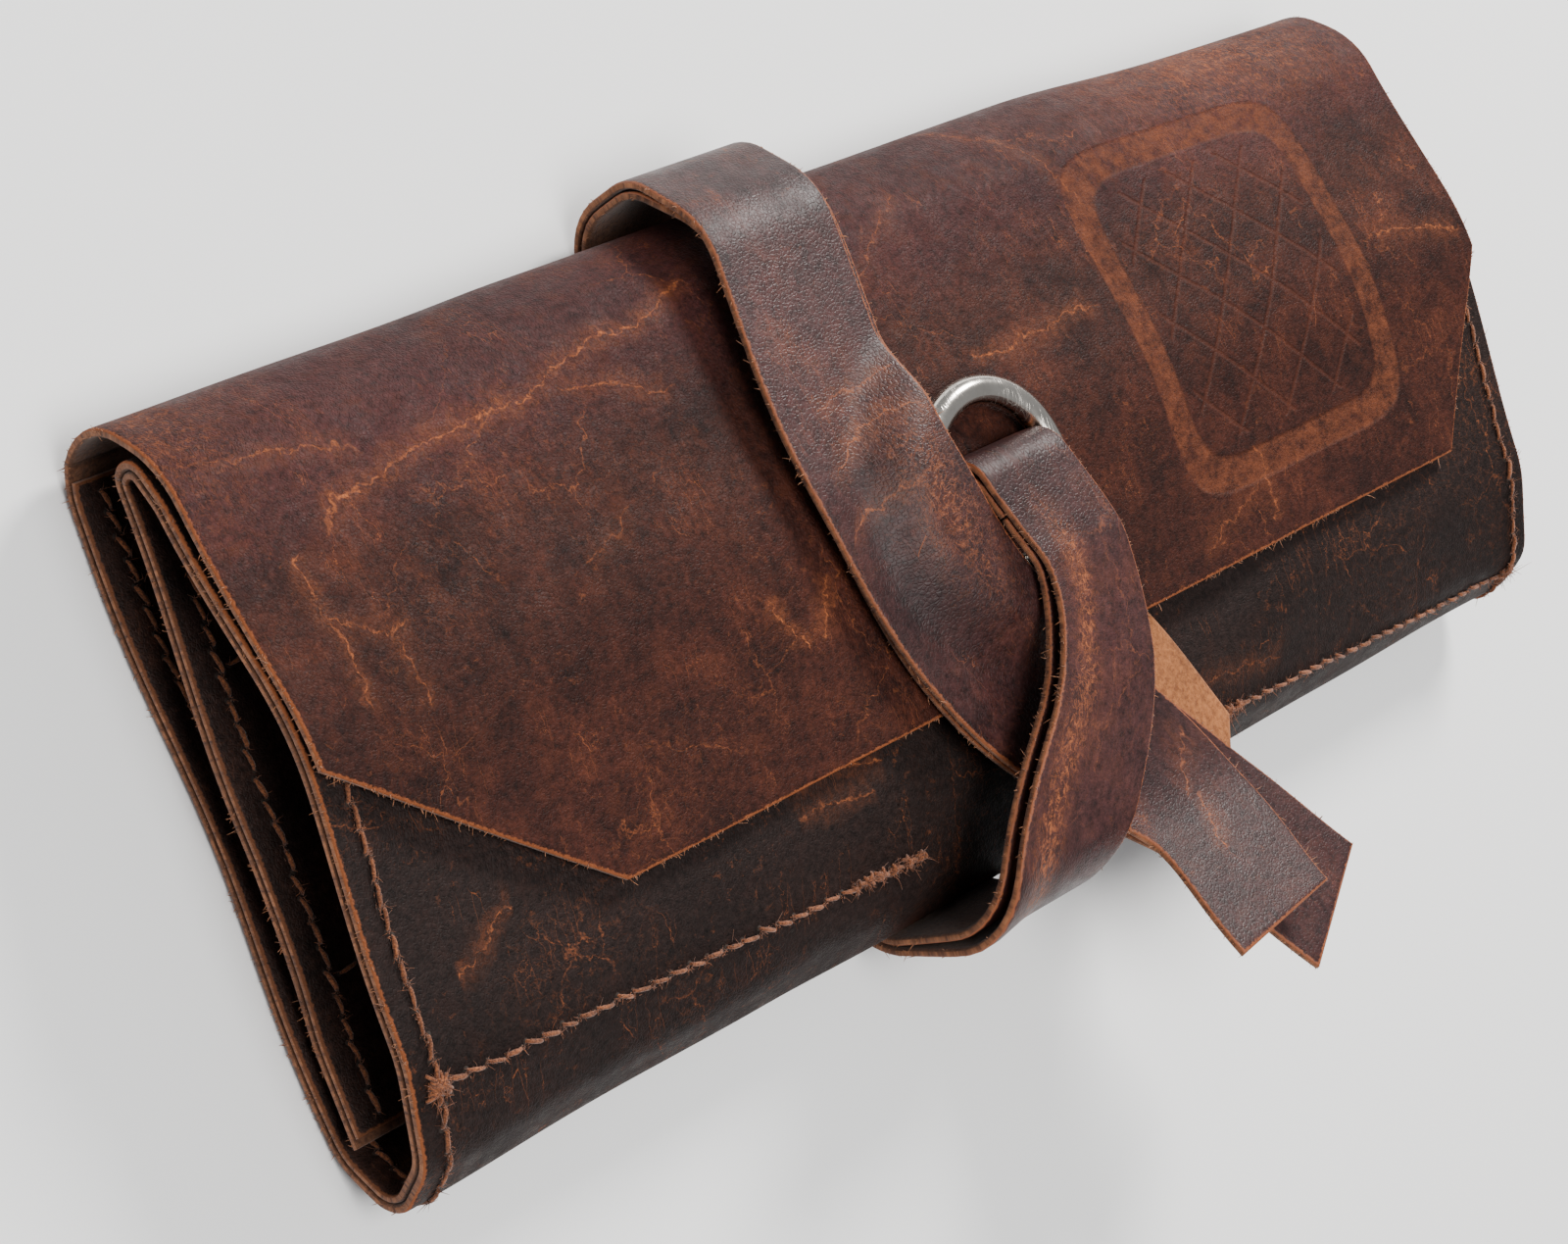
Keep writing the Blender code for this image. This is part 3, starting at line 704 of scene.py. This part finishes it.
def make_sewing(side_name, side, looks, seed):
    """Each row of stitches of one pocket strip, outside on the cover and inside on the pocket."""
    faces = {
        "outer": lambda x, s, h: cover_point(x, s, LEATHER / 2 + h),
        "inner": lambda x, s, h: cover_point(x, s, -(LEATHER / 2 + GAP + POCKET_LEATHER + h)),
    }
    end_x = side * (HALF - EDGE_INSET)
    for face, point in faces.items():
        fuzz = FUZZ_OUTER if face == "outer" else FUZZ_INNER
        row = Fibres(seed)
        stitch_row(row, point, (end_x, POCKET_START + 3), (end_x, POCKET_END - 3), fuzz)
        if face == "outer":
            s, skew, _ = DIVIDERS[2]
            knot(row, point, end_x, s - skew * (end_x + HALF), 3.4, 260)
        ride_thread(row, f"end_stitches_{side_name}_{face}", f"end_seam_{side_name}_{face}", looks)
        for number, (s, skew, reach) in enumerate(DIVIDERS, 1):
            seed += 1
            row = Fibres(seed)
            start_x, stop_x = side * (HALF - EDGE_INSET - 2.5), side * (HALF - reach)
            ends = [(x, s - skew * (x + HALF)) for x in (start_x, stop_x)]
            stitch_row(row, point, *ends, fuzz)
            if number == 3 and face == "outer":
                along = np.linspace(0, 22 * side, 6)
                for x in ends[1][0] + along:
                    knot(row, point, x, s - skew * (x + HALF), 1.9, 50)
            tag = f"{side_name}_{number}_{face}"
            ride_thread(row, f"divider_stitches_{tag}", f"divider_seam_{tag}", looks)


def ride_thread(row, name, node, looks):
    """Makes one row of sewing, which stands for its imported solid."""
    made = row.make(name, looks)
    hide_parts(node)
    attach(made, "roll")


def edge_fibres(name, body, point, cuts, looks, seed, length):
    """Torn fibres along cuts, each given by two flat points, the flat way outwards and its length."""
    fibres = Fibres(seed)
    random = fibres.random
    for start, end, out, total in cuts:
        t = random.random(int(total / FIBRE_SPACING))
        clumps = np.sin(t * total / 6.1) * np.sin(t * total / 2.3 + 1) + 0.6 * np.sin(t * total / 17 + seed)
        t = t[random.random(len(t)) < 0.35 + 0.4 * clumps]
        flat = np.array(start) + t[:, None] * np.subtract(end, start)
        h = random.uniform(-0.9, 0.9, len(t))
        step = np.array(out) * 0.05 + 0 * flat
        here = point(flat[:, 0], flat[:, 1], h)
        inward = point(flat[:, 0] - step[:, 0], flat[:, 1] - step[:, 1], h)
        away = (here - inward) / np.maximum(np.linalg.norm(here - inward, axis=1, keepdims=True), 1e-9)
        directions = away + random.normal(0, 0.7, away.shape)
        fibres.hairs(here - away * 0.25, directions, random.gamma(2.6, length / 2.6, len(t)), 0.12, 0.4)
    made = fibres.make(name, looks)
    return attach(made, body)


class Graph:
    """A material's nodes, wired by calls that return sockets."""

    def __init__(self, name):
        self.material = bpy.data.materials.new(name)
        self.material.use_nodes = True
        self.tree = self.material.node_tree
        self.shader = self.tree.nodes["Principled BSDF"]

    def wire(self, value, socket):
        if isinstance(value, bpy.types.NodeSocket):
            self.tree.links.new(value, socket)
        elif socket.type == "RGBA":
            socket.default_value = (*value, 1.0)
        else:
            socket.default_value = value

    def set(self, **inputs):
        for key, value in inputs.items():
            self.wire(value, self.shader.inputs[key.replace("_", " ")])

    def node(self, kind, inputs, output=0, **settings):
        made = self.tree.nodes.new("ShaderNode" + kind)
        for key, value in settings.items():
            setattr(made, key, value)
        for key, value in inputs.items():
            self.wire(value, made.inputs[key])
        return made.outputs[output]

    def attribute(self, name, output="Fac"):
        return self.node("Attribute", {}, output, attribute_name=name)

    def math(self, operation, a, b=0.0):
        return self.node("Math", {0: a, 1: b}, operation=operation)

    def times(self, first, *rest):
        for value in rest:
            first = self.math("MULTIPLY", first, value)
        return first

    def largest(self, values):
        found = values[0]
        for value in values[1:]:
            found = self.math("MAXIMUM", found, value)
        return found

    def span(self, value, low, high, to_low=0.0, to_high=1.0):
        inputs = {"Value": value, "From Min": low, "From Max": high, "To Min": to_low, "To Max": to_high}
        return self.node("MapRange", inputs, clamp=True)

    def step(self, value, low, high):
        inputs = {"Value": value, "From Min": low, "From Max": high}
        return self.node("MapRange", inputs, interpolation_type="SMOOTHSTEP")

    def mix(self, factor, a, b, blend="MIX"):
        return self.node("Mix", {0: factor, 6: a, 7: b}, 2, data_type="RGBA", blend_type=blend)

    def noise(self, vector, scale, detail=2.0, roughness=0.5, output="Fac"):
        inputs = {"Vector": vector, "Scale": scale, "Detail": detail, "Roughness": roughness}
        return self.node("TexNoise", inputs, output)

    def cells(self, vector, scale):
        inputs = {"Vector": vector, "Scale": scale}
        return self.node("TexVoronoi", inputs, "Distance", feature="DISTANCE_TO_EDGE")

    def stretched(self, vector, scale, turn=0.0):
        return self.node("Mapping", {"Vector": vector, "Rotation": (0.0, 0.0, turn), "Scale": scale})

    def warped(self, vector, scale, reach):
        """The vector moved about by noise, by up to half the reach."""
        colour = self.noise(vector, scale, 3.0, 0.6, "Color")
        centred = self.node("VectorMath", {0: colour, 1: (0.5, 0.5, 0.5)}, operation="SUBTRACT")
        pushed = self.node("VectorMath", {0: centred, "Scale": reach}, operation="SCALE")
        return self.node("VectorMath", {0: vector, 1: pushed}, operation="ADD")

    def split(self, vector):
        made = self.tree.nodes.new("ShaderNodeSeparateXYZ")
        self.wire(vector, made.inputs[0])
        return made.outputs[0], made.outputs[1]

    def finish(self, height, relief):
        """Bumps the surface by height, relief millimetres deep."""
        bump = self.node("Bump", {"Height": height, "Distance": relief * MM, "Strength": 1.0}, "Normal")
        self.wire(bump, self.shader.inputs["Normal"])
        return self.material


def crease_line(graph, x, s, crease):
    """The line and the glow of a crease through evenly spaced values, dying out at both ends."""
    along_x, start, end, values, strength = crease
    run, cross = (x, s) if along_x else (s, x)
    low, high = min(values) - 0.01, max(values) + 0.01
    t = graph.span(run, start, end)
    curve = graph.tree.nodes.new("ShaderNodeFloatCurve")
    points = curve.mapping.curves[0].points
    heights = [(value - low) / (high - low) for value in values]
    points[0].location = (0.0, heights[0])
    points[1].location = (1.0, heights[-1])
    for k, height in enumerate(heights[1:-1], 1):
        points.new(k / (len(heights) - 1), height)
    curve.mapping.update()
    graph.wire(t, curve.inputs["Value"])
    path = graph.span(curve.outputs[0], 0.0, 1.0, low, high)
    away = graph.math("ABSOLUTE", graph.math("SUBTRACT", cross, path))
    ends = graph.times(graph.step(t, 0.0, 0.08), graph.step(t, 1.0, 0.92), strength)
    glow = graph.times(graph.step(away, CREASE_GLOW, 0.0), ends, 0.5)
    return graph.times(graph.step(away, CREASE_LINE, 0.0), ends), glow


def leather(name, palette, roughness, gloss, relief, creases=(), regions=(), veins=0.5, motif=None):
    """Waxed pull-up leather: clouded colour, fine grain, bright creases, scuffs and worn edges.

    palette is dark, middle, light and worn, and regions are washes (colour, s from, s to, amount).
    """
    dark, middle, light, bright = palette
    graph = Graph(name)
    flat = graph.attribute("flat", "Vector")
    edge = graph.attribute("edge")
    worn = graph.attribute("worn")
    bent = graph.warped(graph.warped(flat, 0.06, 10.0), 0.35, 4.6)
    x, s = graph.split(bent)
    _, true_s = graph.split(flat)
    clouds = graph.noise(flat, 0.016, 3.0, 0.55)
    patches = graph.noise(bent, 0.05, 6.0, 0.72)
    mottle = graph.noise(flat, 0.55, 4.0, 0.78)
    colour = graph.mix(graph.step(patches, 0.34, 0.58), dark, middle)
    colour = graph.mix(graph.times(graph.step(patches, 0.52, 0.76), 0.75), colour, light)
    # The washes are mixed in over stretches of s; on the cover they paint sheen on the top fold and shade on
    # the bottom fold and front.
    for wash, start, end, amount in regions:
        rising = graph.step(true_s, start - 14, start + 14)
        inside = graph.times(rising, graph.step(true_s, end + 14, end - 14))
        colour = graph.mix(graph.times(inside, amount), colour, wash)
    colour = graph.mix(1.0, colour, grey(graph, graph.span(clouds, 0.3, 0.7, 0.72, 1.25)), "MULTIPLY")
    colour = graph.mix(1.0, colour, grey(graph, graph.span(mottle, 0.3, 0.7, 0.3, 1.75)), "MULTIPLY")
    reddest = graph.step(true_s, 350.0, 300.0)
    blush = graph.step(graph.noise(bent, 0.11, 5.0, 0.75), 0.5, 0.68)
    rosy = graph.times(blush, graph.span(reddest, 0.0, 1.0, 0.06, 0.42))
    colour = graph.mix(rosy, colour, light)

    # Veins only here and there, as a fine net, and wrinkles where the leather has been worked.
    zone = graph.step(graph.noise(flat, 0.02, 2.0), 0.5, 0.63)
    vein = graph.times(graph.step(graph.cells(bent, 0.036), 0.011, 0.0), zone, veins)
    net = graph.times(graph.step(graph.cells(bent, 0.24), 0.05, 0.0), zone, veins, 0.3)
    drawn_out = graph.stretched(bent, (1.0, 0.34, 1.0))
    wrinkle = graph.times(graph.step(graph.cells(drawn_out, 0.75), 0.16, 0.0), worn)
    lines = [vein, net, wrinkle]
    glow = [graph.times(worn, graph.step(patches, 0.32, 0.62), 0.6)]
    for crease in creases:
        sharp, wide = crease_line(graph, x, s, crease)
        lines.append(sharp)
        glow.append(wide)
    gaps = graph.span(graph.noise(bent, 0.8, 4.0, 0.7), 0.36, 0.56, 0.25, 1.0)
    line = graph.times(graph.largest(lines), gaps)
    frays = graph.step(graph.noise(bent, 0.5, 3.0, 0.8), 0.44, 0.62)
    glow = graph.times(graph.largest(glow), graph.span(frays, 0.0, 1.0, 0.25, 1.0))
    broken = graph.span(graph.noise(flat, 0.5, 3.0, 0.75), 0.38, 0.6, 0.1, 1.0)
    scuff_cells = graph.cells(graph.stretched(graph.warped(flat, 0.3, 1.2), (0.3, 0.035, 1.0), 0.7), 1.0)
    scuffed = graph.step(graph.noise(flat, 0.05, 2.0), 0.54, 0.64)
    scuff = graph.times(graph.step(scuff_cells, 0.01, 0.0), scuffed, 0.45)
    flecked = graph.step(graph.noise(flat, 0.035), 0.44, 0.6)
    fleck = graph.times(graph.step(graph.noise(bent, 0.36, 4.0, 0.8), 0.57, 0.7), flecked)
    frayed = graph.math("ADD", graph.times(graph.noise(flat, 0.9, 3.0, 0.7), 1.5), -0.2)
    rim = graph.times(graph.step(graph.math("SUBTRACT", edge, frayed), 0.25, -0.2), 0.6)
    pale = graph.largest([graph.times(line, broken), graph.times(fleck, 0.2), scuff, rim])
    colour = graph.mix(glow, colour, graph.mix(0.35, light, bright))
    height = [graph.times(wrinkle, -0.5)]
    if motif:
        colour, motif_height = motif(graph, flat, colour, light, bright)
        height.append(motif_height)
    colour = graph.mix(pale, colour, bright)
    graph.set(Base_Color=colour)

    low, high = roughness
    rough = graph.span(graph.noise(flat, 0.14, 4.0, 0.75), 0.3, 0.7, low, high)
    graph.set(Roughness=graph.math("ADD", rough, graph.times(pale, 0.2)))
    graph.set(Specular_IOR_Level=gloss)
    grain = graph.times(graph.step(graph.cells(flat, 1.05), 0.0, 0.25), 0.5)
    height += [grain, graph.times(graph.noise(flat, 0.3, 5.0, 0.7), 1.3)]
    total = height[0]
    for value in height[1:]:
        total = graph.math("ADD", total, value)
    return graph.finish(total, relief)


def grey(graph, value):
    """The colour with the value in all three channels."""
    made = graph.tree.nodes.new("ShaderNodeCombineColor")
    for k in range(3):
        graph.wire(value, made.inputs[k])
    return made.outputs[0]


def tooled_panel(graph, flat, colour, light, bright):
    """A generic pressed panel on the flap: one rounded-square border round a diamond lattice."""
    x, s = graph.split(graph.warped(flat, 0.2, 0.8))
    across = graph.math("ABSOLUTE", graph.math("ADD", x, -PANEL_X))
    along = graph.math("ABSOLUTE", graph.math("ADD", s, -PANEL_S))
    powers = [graph.math("POWER", value, PANEL_POWER) for value in (across, along)]
    away = graph.math("POWER", graph.math("ADD", *powers), 1 / PANEL_POWER)
    inner, outer = PANEL_HALF - PANEL_BORDER, PANEL_HALF
    band = graph.times(graph.step(away, inner - 0.6, inner + 0.6), graph.step(away, outer + 0.6, outer - 0.6))
    inside = graph.step(away, inner - 3.4, inner - 4.4)
    lattice = []
    for sign in (1.0, -1.0):
        slant = graph.math("ADD", x, graph.times(s, sign))
        cycle = graph.math("PINGPONG", graph.math("ADD", slant, PANEL_OFFSET), PANEL_LATTICE)
        lattice.append(graph.step(cycle, 1.3, 0.2))
    lattice = graph.times(graph.largest(lattice), inside)
    stubble = graph.span(graph.noise(flat, 0.22, 6.0, 0.85), 0.4, 0.62, 0.05, 1.0)
    colour = graph.mix(graph.times(band, stubble, 0.9), colour, graph.mix(0.22, light, bright))
    colour = graph.mix(graph.times(lattice, 0.4), colour, light)
    height = graph.math("ADD", graph.times(band, -2.6), graph.times(lattice, -1.3))
    return colour, graph.math("ADD", height, graph.times(band, graph.noise(flat, 1.2, 6.0, 0.8), 1.6))


def raw_leather(name, dark, light, scale, relief):
    """The cut edge or the flesh side: matt, fibrous and unfinished."""
    graph = Graph(name)
    flat = graph.attribute("flat", "Vector")
    streaks = graph.noise(graph.warped(flat, scale * 0.6, 1.5), scale, 6.0, 0.72)
    blotches = graph.noise(flat, scale * 0.06, 4.0, 0.6)
    colour = graph.mix(graph.step(streaks, 0.32, 0.66), dark, light)
    shade = graph.span(blotches, 0.3, 0.7, 0.7, 1.25)
    graph.set(Base_Color=graph.mix(1.0, colour, grey(graph, shade), "MULTIPLY"), Roughness=0.92)
    graph.set(Specular_IOR_Level=0.18, Sheen_Weight=0.15, Sheen_Roughness=0.5)
    return graph.finish(streaks, relief)


def thread_look(name, dark, light):
    """Waxed thread or a torn fibre."""
    graph = Graph(name)
    place = graph.node("TexCoord", {}, "Object")
    strands = graph.noise(graph.stretched(place, (1.0, 1.0, 1.0), 0.6), 2600.0, 3.0, 0.7)
    patches = graph.noise(place, 260.0, 3.0, 0.6)
    colour = graph.mix(graph.step(strands, 0.35, 0.65), dark, light)
    shade = graph.span(patches, 0.3, 0.7, 0.6, 1.3)
    graph.set(Base_Color=graph.mix(1.0, colour, grey(graph, shade), "MULTIPLY"), Roughness=0.78)
    graph.set(Specular_IOR_Level=0.25, Sheen_Weight=0.2)
    return graph.finish(strands, 0.12)


def hole_shade_look():
    """A near-black plug standing for the inside of a stitch hole: painted shade."""
    graph = Graph("stitch hole")
    place = graph.node("TexCoord", {}, "Object")
    tone = graph.noise(place, 900.0, 3.0, 0.6)
    graph.set(Base_Color=graph.mix(tone, (0.006, 0.004, 0.003), (0.03, 0.016, 0.01)), Roughness=0.95)
    return graph.finish(tone, 0.1)


def nickel():
    """Polished nickel with handling haze and fine scratches."""
    graph = Graph("worn nickel")
    place = graph.node("TexCoord", {}, "Object")
    haze = graph.noise(place, 90.0, 5.0, 0.7)
    lines = graph.cells(graph.stretched(graph.warped(place, 40.0, 0.004), (900.0, 60.0, 300.0), 0.5), 1.0)
    scratch = graph.times(graph.step(lines, 0.05, 0.0), graph.step(graph.noise(place, 200.0), 0.45, 0.6))
    graph.set(Base_Color=graph.mix(haze, (0.40, 0.37, 0.33), (0.62, 0.58, 0.53)), Metallic=1.0)
    rough = graph.span(haze, 0.3, 0.75, 0.12, 0.28)
    graph.set(Roughness=graph.math("ADD", rough, graph.times(scratch, 0.25)))
    return graph.finish(graph.math("ADD", graph.times(scratch, -1.0), haze), 0.02)


def make_ring():
    """The steel ring, a little thinner where its ends are welded."""
    s = cover_section.s_at_y(FLAP, FLAP_SLOPE + 1, RING_Y)
    y, z, ny, nz = (float(v) for v in cover_section.at(s))
    lift = LEATHER / 2 + GAP + RING_WIRE_RADIUS
    centre = np.array((RING_X, y + lift * ny, z + lift * nz))
    up = np.array((0.0, ny, nz))
    side = np.array((1.0, 0.0, 0.0))
    ahead = np.cross(up, side)
    turns, sides = 144, 32
    points, faces = [], []
    for i in range(turns):
        angle = 2 * math.pi * i / turns
        out = math.cos(angle) * side + math.sin(angle) * ahead
        radius = RING_WIRE_RADIUS - 0.12 * float(hump(angle, 4.1, 0.05))
        for j in range(sides):
            turn = 2 * math.pi * j / sides
            across, rise = radius * math.cos(turn), radius * math.sin(turn)
            points.append(centre + out * (RING_RADIUS + across) + up * rise)
            a, b = i * sides, (i + 1) % turns * sides
            faces.append((a + j, b + j, b + (j + 1) % sides, a + (j + 1) % sides))
    ring = to_object("ring", points, faces, [nickel()], [0] * len(faces), {})
    turn_out(ring)
    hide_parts("closure_ring")
    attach(ring, "ring")


# (name, place, diameter, power, colour) of the soft lights, and the point that they face.
LIGHTS = (
    ("key", (0.90, 0.86, 0.84), 0.45, 36.0, (1.0, 0.98, 0.95)),
    ("top", (-0.35, -0.25, 1.55), 1.1, 32.0, (1.0, 0.99, 0.97)),
)
LIGHT_TARGET = (0.0, 0.0, 0.03)
SKY = (0.95, 0.97, 1.0, 1.0)
SKY_STRENGTH = 0.46


def area_light(name, place, size, power, colour):
    data = bpy.data.lights.new(name, "AREA")
    data.energy = power
    data.color = colour
    data.shape = "DISK"
    data.size = size
    light = bpy.data.objects.new(name, data)
    light.location = place
    light.rotation_mode = "QUATERNION"
    light.rotation_quaternion = (Vector(LIGHT_TARGET) - Vector(place)).to_track_quat("-Z", "Y")
    bpy.context.scene.collection.objects.link(light)


def make_studio():
    """The camera at the photograph's place, a pale floor, a soft sky and two soft lights."""
    scene = bpy.context.scene
    data = bpy.data.cameras.new("camera")
    data.lens = LENS
    data.sensor_width = SENSOR
    data.clip_start, data.clip_end = 0.05, 20.0
    camera = bpy.data.objects.new("camera", data)
    back = [-value for value in CAMERA_AHEAD]
    axes = Matrix((CAMERA_RIGHT, CAMERA_UP, back)).transposed()
    camera.matrix_world = Matrix.Translation(CAMERA_PLACE) @ axes.to_4x4()
    scene.collection.objects.link(camera)
    scene.camera = camera

    bpy.ops.mesh.primitive_plane_add(size=8.0, location=(0.0, 0.0, 0.0))
    floor = bpy.context.object
    floor.name = "floor"
    graph = Graph("pale floor")
    graph.set(Base_Color=(0.86, 0.86, 0.86), Roughness=0.85)
    floor.data.materials.append(graph.material)

    world = bpy.data.worlds.new("studio")
    world.use_nodes = True
    sky = world.node_tree.nodes["Background"].inputs
    sky["Color"].default_value = SKY
    sky["Strength"].default_value = SKY_STRENGTH
    scene.world = world
    for light in LIGHTS:
        area_light(*light)


# Creases on the flap and the front panel: (along x, from, to, evenly spaced values across, strength).
COVER_CREASES = (
    (True, -178, -52, (88, 98, 101, 101, 106, 108, 113), 1),
    (True, -196, -156, (112, 108, 103), 0.6),
    (False, 52, 90, (-186, -183, -185, -181), 0.9),
    (True, -186, -166, (75, 70, 66), 0.6),
    (False, 50, 68, (-172, -170, -172), 0.6),
    (False, 26, 42, (-70, -73, -78), 1),
    (False, 27, 42, (-66, -62, -58), 1),
    (True, -104, -74, (100, 97, 91), 0.7),
    (True, -120, -100, (64, 66, 71), 0.4),
    (True, 10, 60, (74, 71, 73, 69), 0.8),
    (True, 62, 98, (4, 9, 13, 20), 0.5),
    (False, 4, 26, (93, 94, 92), 0.6),
    (True, 164, 200, (60, 57, 54), 0.8),
    (False, 92, 134, (74, 66, 58, 44), 0.55),
    (True, -34, 18, (92, 97, 104, 116), 0.5),
    (True, -183, -164, (373, 379, 384), 0.7),
    (True, -86, -54, (379, 376, 374), 0.7),
    (True, -85, -60, (371, 370, 369), 0.5),
    (True, 56, 90, (354, 350, 348), 0.4),
)
STRAP_CREASES = (
    (True, -14, 19, (418, 413, 409, 411), 1),
    (True, -8, 19, (404, 401, 396), 0.8),
    (True, -17, 8, (430, 426, 427), 0.7),
    (False, 390, 440, (-3, 0, 2, 1), 0.25),
)
TAIL_CREASES = ((False, 20, 34, (4, 1, -3), 1), (True, 0, 16, (18, 14, 12), 0.6))


def make_straps(strap_grain, tail_grain, flesh, tan_flesh, cut, fibre):
    """The doubled strap's two layers, their tails and the inner end."""
    inner_section = Section(TURN_SECTION)
    diagonal = inner_section.length - inner_section.corner_s[DIAGONAL]

    def over_ring(layer):
        """The ring's bump, only for the diagonal, which is the part that crosses it."""
        return lambda x, y, to_end: np.where(to_end < diagonal, ring_bump(x, y, layer), 0.0)

    def curl(v, w):
        """The outer layer's left edge stands off the inner one down the run below the ring."""
        return CURL * smooth((-w - 0.1) / 0.9) * plateau(v, *CURL_V)

    def ridge(v, w):
        """Where the run below the ring and the diagonal are creased from pulling."""
        run = hump(w, -0.45 + 0.1 * np.sin(v / 17), 0.24) * plateau(v, *RUN_V)
        return np.maximum(run, 0.6 * hump(w, 0.45, 0.42) * hump(v, *DIAGONAL_V))

    def level(v, w):
        return 0 * v

    corners, xs = (*OUTER_START, *TURN_SECTION), (*OUTER_START_X, *TURN_X)
    # The outer layer starts this much before the inner one, down in the ring.
    lead = Section(corners).length - inner_section.length
    slipped_x = [x + SLIP * (k in SLIP_CORNERS) for k, x in enumerate(TURN_X, -len(TURN_X))]
    inner = Strap(TURN_SECTION, slipped_x, neck, over_ring(0.0), "end", -ROOT_GAP)
    outer = Strap(corners, xs, lambda v: neck(v - lead), over_ring(STACK), "end", -ROOT_GAP)
    lower = Strap(LOWER_TAIL_SECTION, LOWER_TAIL_X, full_width, None, 0.0, ROOT_GAP)
    upper = Strap(UPPER_TAIL_SECTION, UPPER_TAIL_X, full_width, None, 0.0, ROOT_GAP)
    anchor = Strap(ANCHOR_SECTION, ANCHOR_X, lambda v: neck(v - ANCHOR_NECK))
    strap_looks, tail_looks = (strap_grain, flesh, cut), (tail_grain, flesh, cut)
    pieces = (
        ("strap_inner", "strap_inner_turn", "roll", inner, 0.0, strap_looks, level, ridge),
        ("strap_outer", "strap_outer_turn", "roll", outer, STACK, strap_looks, curl, ridge),
        ("tail_lower", "strap_tail_lower", "tail_lower", lower, 0.0, tail_looks, level, level),
        ("tail_upper", "strap_tail_upper", "tail_upper", upper, 0.0, tail_looks, level, level),
    )
    for name, node, body, strap, layer, looks, lift, worn in pieces:
        make_strap(name, node, body, strap, layer, looks, "strap_leather", lift, worn)

        def surface(w, v, h, strap=strap, layer=layer, lift=lift):
            return strap.at(strap.shifted(v, w), w, layer + h + lift(v, w))

        reach = strap.section.length
        sides = [((side, 0.0), (side, reach), (side, 0.0), reach) for side in (-1.0, 1.0)]
        edge_fibres(f"{name}_fibres", body, surface, sides, [fibre], 17, 0.36)
    looks, slot = (tan_flesh, strap_grain, cut), "strap_flesh_side"

    def tip(w):
        """The chamfer at the inner end's tip."""
        return ANCHOR_CHAMFER * ramp((w - 0.2) / 0.8)

    make_strap("strap_anchor", "strap_anchor_end", "roll", anchor, 0.0, looks, slot, level, level, tip)


def main():
    bright = (0.33, 0.098, 0.034)
    cover_palette = ((0.014, 0.0040, 0.0029), (0.031, 0.0082, 0.0050), (0.066, 0.0175, 0.0085), bright)
    # The top fold gets a lighter purplish wash, which is painted sheen; the back is browner; the bottom fold
    # and front are washed nearly black, which is painted shade.
    washes = (
        # Painted sheen on the top fold.
        ((0.038, 0.0118, 0.0125), 92.0, 175.0, 0.6),
        # Painted shade on the bottom fold and front.
        ((0.0105, 0.0062, 0.0054), 320.0, 700.0, 0.95),
        ((0.024, 0.0095, 0.0065), 190.0, 320.0, 0.7),
    )
    cover_grain = leather(
        "cover grain", cover_palette, (0.5, 0.74), 0.12, 0.16, COVER_CREASES, washes, motif=tooled_panel
    )
    pocket_palette = ((0.010, 0.005, 0.004), (0.019, 0.009, 0.007), (0.040, 0.016, 0.010))
    pocket_palette = (*pocket_palette, (0.16, 0.055, 0.022))
    pocket_grain = leather("pocket grain", pocket_palette, (0.5, 0.7), 0.15, 0.16, veins=0.3)
    strap_palette = ((0.020, 0.0070, 0.0074), (0.034, 0.0112, 0.0104), (0.066, 0.0205, 0.0130), bright)
    strap_grain = leather("strap grain", strap_palette, (0.38, 0.56), 0.26, 0.10, STRAP_CREASES, veins=0.3)
    tail_grain = leather("tail grain", strap_palette, (0.4, 0.56), 0.26, 0.09, TAIL_CREASES, veins=0.3)
    flesh = raw_leather("flesh side", (0.045, 0.018, 0.010), (0.12, 0.050, 0.025), 0.9, 0.3)
    tan_flesh = raw_leather("tan flesh side", (0.16, 0.050, 0.014), (0.34, 0.122, 0.038), 0.7, 0.3)
    cut = raw_leather("cut edge", (0.060, 0.020, 0.010), (0.27, 0.105, 0.045), 0.6, 0.4)
    fibre = thread_look("torn fibre", (0.12, 0.042, 0.018), (0.38, 0.155, 0.066))
    thread = thread_look("waxed thread", (0.055, 0.015, 0.006), (0.26, 0.085, 0.030))
    # The stitch holes' near-black plugs are painted shade.
    hole = hole_shade_look()

    make_cover(cover_grain, flesh, cut)
    for side_name, side, seed in (("left", -1, 100), ("right", 1, 200)):
        make_pocket(side_name, side, pocket_grain, flesh, cut)
        make_sewing(side_name, side, [thread, hole], seed)
    make_ring()

    make_straps(strap_grain, tail_grain, flesh, tan_flesh, cut, fibre)
    left, right = (-HALF + FLAP_CHAMFER_LEFT, 0.0), (HALF - FLAP_CHAMFER_RIGHT, 0.0)
    end = cover_section.length
    edges = (
        (left, right, (0.0, -1.0), FLAP_EDGE),
        ((-HALF, RISE_S), left, (-0.6, -0.8), LEFT_CHAMFER_EDGE),
        ((HALF, RISE_S), right, (0.8, -0.6), RIGHT_CHAMFER_EDGE),
        ((-HALF, RISE_S), (-HALF, end), (-1.0, 0.0), end - RISE_S),
        ((HALF, RISE_S), (HALF, end), (1.0, 0.0), end - RISE_S),
    )
    edge_fibres("cover_fibres", "roll", cover_point, edges, [fibre], 7, 0.42)
    make_studio()


main()
